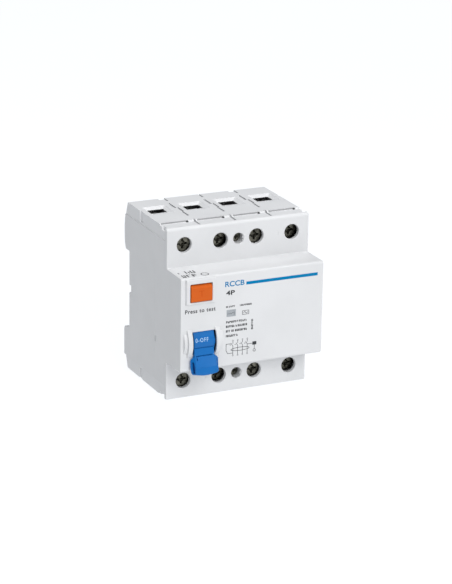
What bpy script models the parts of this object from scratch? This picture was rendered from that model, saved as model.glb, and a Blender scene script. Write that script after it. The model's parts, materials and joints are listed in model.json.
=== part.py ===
"""Four-pole residual current device for a 35 mm DIN rail, as separate solids placed where they work.

Frame: metres, +Z up. The origin is the centre of the face that rests on the rail, the rail is at +Y,
the front face with the toggle looks along -Y, and +X is to the right of someone who faces it.
"""

import math

import bmesh
import bpy
from mathutils import Matrix, Vector

mm = 0.001

# Body, from the module sizes that every enclosure of this family shares.
POLE_PITCH = 18.0 * mm
POLES = [(n - 1.5) * POLE_PITCH for n in range(4)]
BODY_HALF_WIDTH = 35.6 * mm
BODY_HALF_HEIGHT = 41.0 * mm
CAP_SEAM = 35.2 * mm
WINDOW_HALF_HEIGHT = 22.2 * mm
SHOULDER_Y = -44.0 * mm
FACE_Y = -60.0 * mm
SEAM_Y = -30.5 * mm
GAP = 0.3 * mm
WALL = 1.8 * mm
INNER_HALF_WIDTH = BODY_HALF_WIDTH - WALL
PLATE_Y = SHOULDER_Y + 2.0 * mm
REAR_WALL_Y = -3.0 * mm

# Terminals: the screw's height and the wire chamber behind it.
TERMINAL_Z = 32.6 * mm
SCREW_HOLE_R = 3.65 * mm
SCREW_HEAD_R = 3.9 * mm
SCREW_SHANK_R = 2.0 * mm
SCREW_TIP_Y = -19.0 * mm
HEAD_DEPTHS = (2.7 * mm, 3.9 * mm, 2.9 * mm, 3.9 * mm)
HEAD_THICK = 3.0 * mm
CAGE_Y = (-21.5 * mm, -7.0 * mm)
CAGE_HALF_WIDTH = 4.8 * mm
CAGE_Z = (26.0 * mm, 36.6 * mm)
BUSBAR_Y = (-18.2 * mm, -16.8 * mm)
FUNNEL_TOP = (5.5 * mm, -19.5 * mm, -6.6 * mm)
FUNNEL_FOOT = (4.2 * mm, -17.4 * mm, -8.8 * mm)
COVER_SCREW_R = 1.4 * mm
COVER_SCREW_HOLE_R = 2.6 * mm

# Toggle: its axis runs along X through (TOGGLE_Y, TOGGLE_Z).
TOGGLE_X = -24.5 * mm
TOGGLE_Y = -52.3 * mm
TOGGLE_Z = -8.9 * mm
DRUM_R = 9.0 * mm
DRUM_HALF_WIDTH = 4.9 * mm
WINDOW_R = DRUM_R + 0.35 * mm
WINDOW_X = (TOGGLE_X - 5.9 * mm, TOGGLE_X + 5.9 * mm)
CHEEK_R = 10.25 * mm
CHEEK_STEP_R = 9.1 * mm
CHEEK_THICK = 2.1 * mm
CHEEK_STEP = 1.6 * mm

# Test button.
BUTTON_X = -26.1 * mm
BUTTON_Z = 15.0 * mm
BUTTON_HALF = (5.2 * mm, 3.9 * mm)
BEZEL_HALF = (7.7 * mm, 6.4 * mm)
BEZEL_Z = 15.5 * mm
BEZEL_HEIGHT = 1.0 * mm

# Rail clips.
CLIPS = {"left": -POLE_PITCH, "right": POLE_PITCH}
CLIP_HALF_WIDTH = 6.5 * mm

# Contact carrier, latch and trip axes, all along X: (y, z).
CARRIER_AXIS = (-27.0 * mm, 3.0 * mm)
LATCH_AXIS = (-34.0 * mm, -9.0 * mm)
TRIP_AXIS = (-32.7 * mm, -17.0 * mm)
CRANK = (-54.4 * mm, -4.4 * mm)
LINK_END = (-35.8 * mm, -3.8 * mm)
FRAME_PLATES = (-32.1 * mm, -17.1 * mm)

# Summation transformer, its axis along Z.
CORE_CENTRE = (9.0 * mm, -15.6 * mm)
CORE_R = (7.4 * mm, 10.6 * mm)
CORE_Z = (-14.0 * mm, -7.0 * mm)

MATERIALS = {
    "housing": ((0.80, 0.81, 0.82), 0.45, 0.0),
    "cap": ((0.78, 0.79, 0.80), 0.5, 0.0),
    "inner_plastic": ((0.10, 0.10, 0.11), 0.6, 0.0),
    "toggle_blue": ((0.02, 0.16, 0.55), 0.35, 0.0),
    "button_orange": ((0.80, 0.16, 0.02), 0.4, 0.0),
    "clip_plastic": ((0.62, 0.63, 0.65), 0.5, 0.0),
    "steel": ((0.55, 0.55, 0.53), 0.35, 1.0),
    "spring_steel": ((0.62, 0.62, 0.62), 0.3, 1.0),
    "copper": ((0.72, 0.38, 0.22), 0.35, 1.0),
    "silver_contact": ((0.75, 0.74, 0.70), 0.3, 1.0),
    "board": ((0.03, 0.22, 0.10), 0.5, 0.0),
    "resistor": ((0.55, 0.45, 0.30), 0.5, 0.0),
}


def clear_scene():
    for obj in list(bpy.data.objects):
        bpy.data.objects.remove(obj)


def collection(name, hidden=False):
    made = bpy.data.collections.new(name)
    bpy.context.scene.collection.children.link(made)
    made.hide_render = hidden
    return made


clear_scene()
PARTS = collection("residual_current_device")
TOOLS = collection("cutters", hidden=True)


def material(name):
    found = bpy.data.materials.get(name)
    if found:
        return found
    colour, roughness, metallic = MATERIALS[name]
    made = bpy.data.materials.new(name)
    made.use_nodes = True
    shader = made.node_tree.nodes["Principled BSDF"]
    shader.inputs["Base Color"].default_value = (*colour, 1)
    shader.inputs["Roughness"].default_value = roughness
    shader.inputs["Metallic"].default_value = metallic
    return made


def link(name, data, slot):
    """A new object among the parts, or among the hidden tools when it has no material slot."""
    obj = bpy.data.objects.new(name, data)
    if slot:
        PARTS.objects.link(obj)
        data.materials.append(material(slot))
    else:
        TOOLS.objects.link(obj)
        obj.hide_render = True
        obj.display_type = "WIRE"
    return obj


def from_bmesh(name, shape, slot):
    bmesh.ops.recalc_face_normals(shape, faces=shape.faces)
    mesh = bpy.data.meshes.new(name)
    shape.to_mesh(mesh)
    shape.free()
    return link(name, mesh, slot)


def box(name, x, y, z, slot=None, bevel=0.0, steps=2):
    """A box from its ranges along X, Y and Z, with its edges rounded when bevel is given."""
    low = Vector((min(x), min(y), min(z)))
    size = Vector((max(x), max(y), max(z))) - low
    shape = bmesh.new()
    bmesh.ops.create_cube(shape, size=1.0)
    bmesh.ops.transform(shape, matrix=Matrix.Diagonal((*size, 1)), verts=shape.verts)
    bmesh.ops.translate(shape, vec=low + size / 2, verts=shape.verts)
    obj = from_bmesh(name, shape, slot)
    if bevel:
        round_edges(obj, bevel, steps)
    return obj


def round_edges(obj, width, steps=2):
    edge = obj.modifiers.new("rounded_edges", "BEVEL")
    edge.width = width
    edge.segments = steps
    edge.limit_method = "ANGLE"


AXIS_TURN = {
    "X": Matrix.Rotation(math.pi / 2, 4, "Y"),
    "Y": Matrix.Rotation(-math.pi / 2, 4, "X"),
    "Z": Matrix.Identity(4),
}


def rod(name, axis, radius, centre, span, slot=None, sides=20, end_radius=None):
    """A cylinder along one axis: centre holds the two other coordinates and span its ends on that axis."""
    a, b = centre
    middle = (span[0] + span[1]) / 2
    place = {"X": (middle, a, b), "Y": (a, middle, b), "Z": (a, b, middle)}[axis]
    shape = bmesh.new()
    bmesh.ops.create_cone(
        shape,
        cap_ends=True,
        segments=sides,
        radius1=radius,
        radius2=radius if end_radius is None else end_radius,
        depth=abs(span[1] - span[0]),
    )
    bmesh.ops.transform(shape, matrix=Matrix.Translation(place) @ AXIS_TURN[axis], verts=shape.verts)
    return from_bmesh(name, shape, slot)


def plate(name, outline, x, slot=None):
    """A flat outline of (y, z) points, extruded between two places on X."""
    curve = bpy.data.curves.new(name, "CURVE")
    curve.dimensions = "2D"
    curve.fill_mode = "BOTH"
    curve.extrude = abs(x[1] - x[0]) / 2
    spline = curve.splines.new("POLY")
    spline.points.add(len(outline) - 1)
    for point, (y, z) in zip(spline.points, outline):
        point.co = (y, z, 0, 1)
    spline.use_cyclic_u = True
    return mesh_of_curve(name, curve, slot, Matrix.Translation((sum(x) / 2, 0, 0)) @ YZ_TO_PLANE)


# Turns a curve's own X and Y into the object's Y and Z.
YZ_TO_PLANE = Matrix(((0, 0, 1, 0), (1, 0, 0, 0), (0, 1, 0, 0), (0, 0, 0, 1)))


def mesh_of_curve(name, curve, slot, matrix):
    """The curve as a closed mesh, in place: its caps are welded and the curve is removed."""
    guide = bpy.data.objects.new(name + "_guide", curve)
    TOOLS.objects.link(guide)
    guide.matrix_world = matrix
    bpy.context.view_layer.update()
    graph = bpy.context.evaluated_depsgraph_get()
    mesh = bpy.data.meshes.new_from_object(guide.evaluated_get(graph))
    bpy.data.objects.remove(guide)
    shape = bmesh.new()
    shape.from_mesh(mesh)
    bmesh.ops.transform(shape, matrix=matrix, verts=shape.verts)
    bmesh.ops.remove_doubles(shape, verts=shape.verts, dist=0.001 * mm)
    bmesh.ops.dissolve_limit(shape, angle_limit=0.01, verts=shape.verts, edges=shape.edges)
    bpy.data.meshes.remove(mesh)
    return from_bmesh(name, shape, slot)


def wire(name, points, radius, slot, resolution=2):
    """A round wire through the points."""
    curve = bpy.data.curves.new(name, "CURVE")
    curve.dimensions = "3D"
    curve.bevel_depth = radius
    curve.bevel_resolution = resolution
    curve.use_fill_caps = True
    spline = curve.splines.new("POLY")
    spline.points.add(len(points) - 1)
    for point, place in zip(spline.points, points):
        point.co = (*place, 1)
    return link(name, curve, slot)


def coil(name, axis, centre, span, radius, wire_radius, turns, slot, per_turn=9):
    """A helical spring along X, Y or Z."""
    points = []
    count = int(turns * per_turn)
    for n in range(count + 1):
        angle = 2 * math.pi * n / per_turn
        along = span[0] + (span[1] - span[0]) * n / count
        a = centre[0] + radius * math.cos(angle)
        b = centre[1] + radius * math.sin(angle)
        points.append({"X": (along, a, b), "Y": (a, along, b), "Z": (a, b, along)}[axis])
    return wire(name, points, wire_radius, slot, resolution=1)


def boolean(target, tool, operation):
    step = target.modifiers.new(operation.lower(), "BOOLEAN")
    step.operation = operation
    step.solver = "EXACT"
    step.object = tool


def cut(target, *tools):
    for tool in tools:
        boolean(target, tool, "DIFFERENCE")


def join(target, *tools):
    for tool in tools:
        boolean(target, tool, "UNION")


def origin_at(obj, place):
    """Puts the object's origin on its joint's axis, and leaves the shape where it is."""
    place = Vector(place)
    obj.data.transform(Matrix.Translation(-place))
    obj.location = place
    return obj


def arc(centre, radius, start, end, steps):
    """Points of (y, z) on an arc, in degrees from -Y towards +Z."""
    points = []
    for n in range(steps + 1):
        angle = math.radians(start + (end - start) * n / steps)
        points.append((centre[0] - radius * math.cos(angle), centre[1] + radius * math.sin(angle)))
    return points


def both_ways(span, side):
    """A range of heights for the upper half, or mirrored for the lower half."""
    return (span[0] * side, span[1] * side)


def base_housing():
    """The rear tray: side walls, rear wall, and the two feet that hold the rail between them."""
    outline = [
        (SEAM_Y, 35.0 * mm), (4.9 * mm, 35.0 * mm), (5.8 * mm, 30.0 * mm), (5.8 * mm, 24.5 * mm),
        (5.4 * mm, 20.5 * mm), (4.2 * mm, 17.9 * mm), (0, 17.9 * mm), (0, -19.3 * mm),
        (5.6 * mm, -20.8 * mm), (6.3 * mm, -21.8 * mm), (6.3 * mm, -35.0 * mm), (SEAM_Y, -35.0 * mm),
    ]
    body = plate("base_housing", outline, (-BODY_HALF_WIDTH, BODY_HALF_WIDTH), "housing")
    round_edges(body, 0.35 * mm, 1)
    room = (-INNER_HALF_WIDTH, INNER_HALF_WIDTH)
    cut(body, box("base_room", room, (SEAM_Y - 5 * mm, REAR_WALL_Y), (-36 * mm, 36 * mm)))
    cut(body, box("upper_foot_room", room, (REAR_WALL_Y - 2 * mm, 3.6 * mm), (20.4 * mm, 36 * mm)))
    for side in (-1, 1):
        notch_x = (side * 30 * mm, side * 36 * mm)
        cut(body, box("rear_notch", notch_x, (-2.4 * mm, 1 * mm), (-2.4 * mm, 1.6 * mm)))
        y, z = CARRIER_AXIS
        boss_x = (side * 32.1 * mm, side * 34.2 * mm)
        join(body, box("carrier_boss", boss_x, (y - 3 * mm, y + 3 * mm), (z - 3 * mm, z + 3 * mm)))
        bore_x = (side * 31 * mm, side * 34.0 * mm)
        cut(body, rod("carrier_bore", "X", 1.9 * mm, CARRIER_AXIS, bore_x, sides=16))
    for name, x in CLIPS.items():
        hook_x = (x - 6 * mm, x + 6 * mm)
        hook = [
            (1.5 * mm, 18.4 * mm), (1.5 * mm, 16.4 * mm), (2.2 * mm, 15.9 * mm),
            (3.4 * mm, 16.4 * mm), (4.2 * mm, 18.4 * mm),
        ]
        join(body, plate("upper_hook_" + name, hook, hook_x))
        channel = (x - CLIP_HALF_WIDTH - 0.4 * mm, x + CLIP_HALF_WIDTH + 0.4 * mm)
        cut(body, box("clip_channel_" + name, channel, (1.4 * mm, 5.3 * mm), (-36 * mm, -18 * mm)))
        peg_z = (-33.5 * mm, -32.0 * mm)
        join(body, box("spring_peg_" + name, (x - 1.5 * mm, x + 1.5 * mm), (0.8 * mm, 5.9 * mm), peg_z))
    return body


def cheek(name, x, radius):
    """A round-topped guard beside the toggle, standing out of the front face."""
    reach = math.degrees(math.acos((TOGGLE_Y - FACE_Y - 0.6 * mm) / radius))
    return plate(name, arc((TOGGLE_Y, TOGGLE_Z), radius, -reach, reach, 14), x)


def bezel():
    """The raised frame round the test button, with sloping sides."""
    x, z = BEZEL_HALF
    frame = box(
        "bezel", (BUTTON_X - x, BUTTON_X + x), (FACE_Y - BEZEL_HEIGHT, FACE_Y + 1 * mm), (BEZEL_Z - z, BEZEL_Z + z)
    )
    for vertex in frame.data.vertices:
        if vertex.co.y < FACE_Y:
            vertex.co.x += 0.6 * mm if vertex.co.x < BUTTON_X else -0.6 * mm
            vertex.co.z += 0.6 * mm if vertex.co.z < BEZEL_Z else -0.3 * mm
    return frame


def front_cover():
    """The front shell: terminal plates above and below, and the nose that fills the panel's cut-out."""
    fillet = 1.6 * mm
    nose = 1.0 * mm
    outline = [
        (SEAM_Y - GAP, 35.0 * mm), (PLATE_Y, 35.0 * mm), (PLATE_Y, BODY_HALF_HEIGHT),
        *reversed(arc((SHOULDER_Y + fillet, BODY_HALF_HEIGHT - fillet), fillet, 0, 90, 4)),
        (SHOULDER_Y, WINDOW_HALF_HEIGHT),
        *reversed(arc((FACE_Y + nose, WINDOW_HALF_HEIGHT - nose), nose, 0, 90, 4)),
        *reversed(arc((FACE_Y + nose, -WINDOW_HALF_HEIGHT + nose), nose, -90, 0, 4)),
        (SHOULDER_Y, -WINDOW_HALF_HEIGHT - 0.9 * mm),
        (SHOULDER_Y, -BODY_HALF_HEIGHT + 0.4 * mm), (SHOULDER_Y + 0.4 * mm, -BODY_HALF_HEIGHT),
        (PLATE_Y, -BODY_HALF_HEIGHT), (PLATE_Y, -35.0 * mm), (SEAM_Y - GAP, -35.0 * mm),
    ]
    body = plate("front_cover", outline, (-BODY_HALF_WIDTH, BODY_HALF_WIDTH), "housing")
    round_edges(body, 0.35 * mm, 1)
    room = (-INNER_HALF_WIDTH, INNER_HALF_WIDTH)
    inner_z = WINDOW_HALF_HEIGHT - WALL
    cut(body, box("nose_room", room, (FACE_Y + WALL, SEAM_Y + 2 * mm), (-inner_z, inner_z)))
    cut(body, box("plate_room", room, (PLATE_Y, SEAM_Y + 2 * mm), (-36 * mm, 36 * mm)))
    for side, word in ((1, "upper"), (-1, "lower")):
        z = TERMINAL_Z * side
        post = rod("screw_post_" + word, "Y", 4.0 * mm, (0, z), (PLATE_Y - 0.5 * mm, -38.0 * mm))
        join(body, post)
        for n, x in enumerate(POLES):
            hole = (SHOULDER_Y - 1 * mm, PLATE_Y + 1 * mm)
            cut(body, rod(f"screw_hole_{word}_{n}", "Y", SCREW_HOLE_R, (x, z), hole, sides=32))
        deep = (SHOULDER_Y - 1 * mm, -38.9 * mm)
        cut(body, rod("cover_screw_hole_" + word, "Y", COVER_SCREW_HOLE_R, (0, z), deep, sides=24))
        cut(body, rod("cover_screw_way_" + word, "Y", 1.7 * mm, (0, z), (-40 * mm, -37 * mm), sides=16))
    join(body, bezel())
    left = WINDOW_X[0]
    right = WINDOW_X[1]
    join(body, cheek("cheek_left", (left - CHEEK_THICK, left + 0.2 * mm), CHEEK_R))
    join(body, cheek("cheek_right", (right - 0.2 * mm, right + CHEEK_THICK), CHEEK_R))
    join(body, cheek("cheek_step_left", (left - CHEEK_THICK - CHEEK_STEP, left - 1 * mm), CHEEK_STEP_R))
    join(body, cheek("cheek_step_right", (right + 1 * mm, right + CHEEK_THICK + CHEEK_STEP), CHEEK_STEP_R))
    cut(body, rod("toggle_window", "X", WINDOW_R, (TOGGLE_Y, TOGGLE_Z), WINDOW_X, sides=64))
    over_x = (WINDOW_X[0] + 0.001 * mm, WINDOW_X[1] - 0.001 * mm)
    over_z = (TOGGLE_Z - 5.2 * mm, TOGGLE_Z + 5.2 * mm)
    cut(body, box("toggle_window_front", over_x, (FACE_Y - 4 * mm, FACE_Y + 0.5 * mm), over_z))
    half_x = BUTTON_HALF[0] + GAP
    half_z = BUTTON_HALF[1] + GAP
    button_x = (BUTTON_X - half_x, BUTTON_X + half_x)
    button_z = (BUTTON_Z - half_z, BUTTON_Z + half_z)
    cut(body, box("button_window", button_x, (FACE_Y - 3 * mm, FACE_Y + 3 * mm), button_z))
    stand_z = (13.4 * mm, 16.6 * mm)
    join(body, box("leaf_stand", (-13.4 * mm, -10.6 * mm), (FACE_Y + 1 * mm, -52.4 * mm), stand_z))
    return body


def barrier_slots(name, x, side):
    """The zigzag slot between two poles, for an insulating barrier, as cutters for a cap."""
    top = (BODY_HALF_HEIGHT - 1.9 * mm) * side
    over = (BODY_HALF_HEIGHT + 1 * mm) * side
    half = 0.5 * mm
    steps = (
        (0.0, (-13.6 * mm, 7 * mm)),
        (0.8 * mm, (-20.2 * mm, -12.6 * mm)),
        (0.0, (-27.2 * mm, -19.6 * mm)),
        (0.0, (-43.0 * mm, -34.8 * mm)),
    )
    return [
        box(f"{name}_{n}", (x + shift - half, x + shift + half), y, (top, over))
        for n, (shift, y) in enumerate(steps)
    ]


def funnel(name, x, side):
    """The wire entry: a rectangular mouth that narrows towards the clamp."""
    half_top, near_top, far_top = FUNNEL_TOP
    half_foot, near_foot, far_foot = FUNNEL_FOOT
    over = 1 * mm
    z = (38.4 * mm * side, (BODY_HALF_HEIGHT + over) * side)
    mouth = box(name, (x - half_top, x + half_top), (near_top, far_top), z)
    for vertex in mouth.data.vertices:
        if abs(vertex.co.z) < BODY_HALF_HEIGHT:
            vertex.co.x = x + math.copysign(half_foot, vertex.co.x - x)
            middle = (near_top + far_top) / 2
            vertex.co.y = near_foot if vertex.co.y < middle else far_foot
    return mouth


def terminal_cap(name, side):
    """The lid over one row of terminals, with four wire entries and three barrier slots."""
    profile = [
        (-41.7 * mm, CAP_SEAM + 0.1 * mm), (4.7 * mm, CAP_SEAM + 0.1 * mm), (2.7 * mm, BODY_HALF_HEIGHT),
        (-34.6 * mm, BODY_HALF_HEIGHT), (-35.2 * mm, 40.4 * mm), (-41.7 * mm, 40.4 * mm),
    ]
    outline = [(y, z * side) for y, z in profile]
    half = BODY_HALF_WIDTH - 0.3 * mm
    body = plate(name, outline, (-half, half), "cap")
    room_z = both_ways((34 * mm, 38.6 * mm), side)
    cut(body, box(name + "_room", (-INNER_HALF_WIDTH, INNER_HALF_WIDTH), (-43 * mm, 3 * mm), room_z))
    for n, x in enumerate(POLES):
        cut(body, funnel(f"{name}_funnel_{n}", x, side))
        groove_z = both_ways((40.3 * mm, 42 * mm), side)
        cut(body, box(f"{name}_groove_{n}", (x - 7.4 * mm, x + 5.4 * mm), (-34.2 * mm, -32.9 * mm), groove_z))
        latch_z = both_ways((39.3 * mm, 42 * mm), side)
        cut(body, box(f"{name}_latch_{n}", (x + 4.4 * mm, x + 6.0 * mm), (-34.4 * mm, -32.7 * mm), latch_z))
    for n, x in enumerate((-POLE_PITCH, 0, POLE_PITCH)):
        cut(body, *barrier_slots(f"{name}_slot_{n}", x, side))
    for n, x in enumerate((-POLE_PITCH, POLE_PITCH)):
        notch_z = both_ways((38.9 * mm, 42 * mm), side)
        cut(body, box(f"{name}_rear_notch_{n}", (x - 2.2 * mm, x + 0.5 * mm), (0.2 * mm, 6 * mm), notch_z))
        relief_z = both_ways((34 * mm, 42 * mm), side)
        relief_x = (34.5 * mm, 37 * mm) if x > 0 else (-37 * mm, -34.5 * mm)
        cut(body, box(f"{name}_relief_{n}", relief_x, (-12.6 * mm, -11.6 * mm), relief_z))
        corner_x = (34.0 * mm, 37 * mm) if x > 0 else (-37 * mm, -34.0 * mm)
        corner_z = both_ways((38.9 * mm, 42 * mm), side)
        cut(body, box(f"{name}_corner_{n}", corner_x, (-43 * mm, -37.4 * mm), corner_z))
    if side < 0:
        for word, x in CLIPS.items():
            way = (x - CLIP_HALF_WIDTH - 0.4 * mm, x + CLIP_HALF_WIDTH + 0.4 * mm)
            cut(body, box("cap_clip_way_" + word, way, (1.4 * mm, 7 * mm), (-42 * mm, -34 * mm)))
    return body


def terminal_frame(name, side):
    """The insulating frame behind one row of terminals: a floor, pole walls and the screws' bearing wall."""
    floor_z = both_ways((22.6 * mm, 23.8 * mm), side)
    wall_z = both_ways((23.4 * mm, 34.6 * mm), side)
    half = INNER_HALF_WIDTH - 0.4 * mm
    rear = REAR_WALL_Y - GAP
    body = box(name, (-half, half), (-36.0 * mm, rear), floor_z, "inner_plastic")
    bearing_z = both_ways((22.6 * mm, 34.6 * mm), side)
    join(body, box(name + "_bearing", (-half, half), (-36.7 * mm, -35.4 * mm), bearing_z))
    for n, x in enumerate((-POLE_PITCH, 0, POLE_PITCH)):
        wall_x = (x - 0.7 * mm, x + 0.7 * mm)
        join(body, box(f"{name}_wall_{n}", wall_x, (-36.2 * mm, rear), wall_z))
    z = TERMINAL_Z * side
    join(body, rod(name + "_post", "Y", 3.4 * mm, (0, z), (-36.5 * mm, -22 * mm), sides=16))
    cut(body, rod(name + "_post_hole", "Y", 1.7 * mm, (0, z), (-40 * mm, -23.5 * mm), sides=16))
    for n, x in enumerate(POLES):
        cut(body, rod(f"{name}_hole_{n}", "Y", 2.5 * mm, (x, z), (-40 * mm, -34 * mm), sides=16))
        slot_y = (-19.2 * mm, -14.1 * mm)
        cut(body, box(f"{name}_slot_{n}", (x - 3.8 * mm, x + 3.8 * mm), slot_y, both_ways((20 * mm, 26 * mm), side)))
    return body


def terminal_screw(name, x, side, depth):
    """A clamp screw with a cross-slot head, held in the frame, turning about its own axis."""
    z = TERMINAL_Z * side
    front = SHOULDER_Y + depth
    back = front + HEAD_THICK
    body = rod(name, "Y", SCREW_HEAD_R, (x, z), (front, back), "steel", sides=24)
    round_edges(body, 0.4 * mm, 1)
    join(body, rod(name + "_shank", "Y", SCREW_SHANK_R, (x, z), (back - 0.5 * mm, SCREW_TIP_Y), sides=14))
    for n, (half_x, half_z) in enumerate(((2.6 * mm, 0.55 * mm), (0.55 * mm, 2.6 * mm))):
        slot = box(f"{name}_slot_{n}", (x - half_x, x + half_x), (front - 1 * mm, front + 1.6 * mm), (z - half_z, z + half_z))
        cut(body, slot)
    return origin_at(body, (x, front, z))


def terminal_cage(name, x, side):
    """The box clamp that the screw draws forward against the conductor."""
    half = CAGE_HALF_WIDTH
    z = both_ways(CAGE_Z, side)
    body = box(name, (x - half, x + half), CAGE_Y, z, "steel", bevel=0.5 * mm, steps=1)
    inner_z = both_ways((CAGE_Z[0] - 1 * mm, CAGE_Z[1] + 1 * mm), side)
    cut(body, box(name + "_mouth", (x - half + 1.2 * mm, x + half - 1.2 * mm), (-18.5 * mm, -8.6 * mm), inner_z))
    cut(body, rod(name + "_thread", "Y", 2.2 * mm, (x, TERMINAL_Z * side), (-23 * mm, -17 * mm), sides=16))
    return body


def line_contact(name, x):
    """The fixed contact: a copper bar from the upper clamp down to a silver pad."""
    body = box(name, (x - 3.2 * mm, x + 3.2 * mm), BUSBAR_Y, (11.5 * mm, 36.0 * mm), "copper")
    join(body, rod(name + "_pad", "Y", 1.8 * mm, (x, 14.2 * mm), (-19.2 * mm, -18.0 * mm), sides=14))
    return body


def moving_contact(name, x):
    """A springy contact arm that stands on the carrier and carries a pad."""
    body = box(name, (x - 2.2 * mm, x + 2.2 * mm), (-24.4 * mm, -23.6 * mm), (-1 * mm, 17.3 * mm), "copper")
    join(body, rod(name + "_pad", "Y", 1.7 * mm, (x, 15.5 * mm), (-23.8 * mm, -22.6 * mm), sides=14))
    return origin_at(body, (x, *CARRIER_AXIS))


def contact_carrier():
    """The insulating cross bar that swings the four contact arms together."""
    y, z = CARRIER_AXIS
    half = 2.3 * mm
    body = box("contact_carrier", (-31.8 * mm, 31.8 * mm), (y - half, y + half), (z - half, z + half), "inner_plastic")
    for n, x in enumerate(POLES):
        lip_z = (z + half - 0.5 * mm, z + half + 1.6 * mm)
        join(body, box(f"carrier_lip_{n}", (x - 3 * mm, x + 3 * mm), (y - half, y + half - 0.6 * mm), lip_z))
    finger = [
        (y - half + 0.5 * mm, z - 1.6 * mm), (-37.5 * mm, -0.2 * mm), (-37.5 * mm, 1.4 * mm),
        (y - half + 0.5 * mm, z + 1.6 * mm),
    ]
    join(body, plate("carrier_finger", finger, (TOGGLE_X - 4.8 * mm, TOGGLE_X - 2.2 * mm)))
    for n, side in enumerate((-1, 1)):
        span = (side * 31.5 * mm, side * 33.6 * mm)
        join(body, rod(f"carrier_journal_{n}", "X", 1.6 * mm, (y, z), span, sides=14))
    return origin_at(body, (0, y, z))


def load_conductor(name, x, hole_x, lane_y):
    """A round conductor from a contact arm, through the transformer, down to the lower clamp."""
    end_y = -16.9 * mm
    far = abs(x - hole_x) > POLE_PITCH / 2 and abs(lane_y - CORE_CENTRE[1]) > 0
    start = [(x, -20.6 * mm, 5.5 * mm), (x, -20.6 * mm, 2.5 * mm)]
    across = [(x, lane_y, 0.6 * mm), (x, lane_y, -2.0 * mm), (x + (hole_x - x) * 0.1, lane_y, -2.7 * mm)]
    if not far:
        across = [(x, lane_y - 0.6 * mm, -1.2 * mm)]
    through = [
        (hole_x - (hole_x - x) * 0.08, lane_y, -2.8 * mm), (hole_x, lane_y, -4.0 * mm),
        (hole_x, lane_y, -17.8 * mm), (hole_x - (hole_x - x) * 0.08, lane_y, -19.3 * mm),
    ]
    back = [(x + (hole_x - x) * 0.08, lane_y, -19.8 * mm), (x, (lane_y + end_y) / 2, -21.4 * mm)]
    end = [(x, end_y, -23.5 * mm), (x, end_y, -36.0 * mm)]
    return wire(name, start + across + through + back + end, 1.3 * mm, "copper")


def transformer_core():
    body = rod("transformer_core", "Z", CORE_R[1], CORE_CENTRE, CORE_Z, "steel", sides=32)
    round_edges(body, 0.5 * mm, 1)
    cut(body, rod("core_hole", "Z", CORE_R[0], CORE_CENTRE, (-20 * mm, 0), sides=32))
    return body


def secondary_winding():
    """Enamelled wire wound round the core's ring, turn by turn."""
    turns = 16
    per_turn = 8
    wire_radius = 0.28 * mm
    ring = (CORE_R[0] + CORE_R[1]) / 2
    half_r = (CORE_R[1] - CORE_R[0]) / 2 + wire_radius + 0.5 * mm
    half_z = (CORE_Z[1] - CORE_Z[0]) / 2 + wire_radius + 0.3 * mm
    middle_z = (CORE_Z[0] + CORE_Z[1]) / 2
    corner = math.sqrt(2)
    points = []
    for n in range(turns * per_turn + 1):
        round_ring = math.radians(-75 + 150 * n / (turns * per_turn))
        turn = 2 * math.pi * n / per_turn
        out = max(-1, min(1, corner * math.cos(turn))) * half_r
        up = max(-1, min(1, corner * math.sin(turn))) * half_z
        points.append(
            (
                CORE_CENTRE[0] + (ring + out) * math.cos(round_ring),
                CORE_CENTRE[1] + (ring + out) * math.sin(round_ring),
                middle_z + up,
            )
        )
    return wire("secondary_winding", points, wire_radius, "copper", resolution=0)


def trip_relay():
    """The polarised relay, with the bush that its plunger slides in."""
    body = box("trip_relay", (-31 * mm, -17 * mm), (-23.6 * mm, -5 * mm), (-17.8 * mm, -5 * mm), "inner_plastic", 0.6 * mm)
    join(body, rod("relay_bush", "Y", 2.6 * mm, (-24.5 * mm, -11.5 * mm), (-25.0 * mm, -22 * mm), sides=16))
    cut(body, rod("relay_bore", "Y", 1.5 * mm, (-24.5 * mm, -11.5 * mm), (-27 * mm, -15 * mm), sides=16))
    return body


def mechanism_frame():
    """Two steel side plates and a bridge, which hold the toggle's, the latch's and the trip lever's pins."""
    plate_y = (-56 * mm, -31.0 * mm)
    plate_z = (-19.4 * mm, 7.0 * mm)
    half = 0.5 * mm
    body = box("mechanism_frame", (FRAME_PLATES[0] - half, FRAME_PLATES[1] + half), (-47 * mm, -36 * mm), (5.9 * mm, 7 * mm), "steel")
    for n, x in enumerate(FRAME_PLATES):
        join(body, box(f"frame_plate_{n}", (x - half, x + half), plate_y, plate_z))
    span = (-36 * mm, -14 * mm)
    for n, centre in enumerate(((TOGGLE_Y, TOGGLE_Z), LATCH_AXIS, TRIP_AXIS)):
        radius = 1.5 * mm if n == 0 else 1.25 * mm
        cut(body, rod(f"frame_hole_{n}", "X", radius, centre, span, sides=16))
    return body


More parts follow.
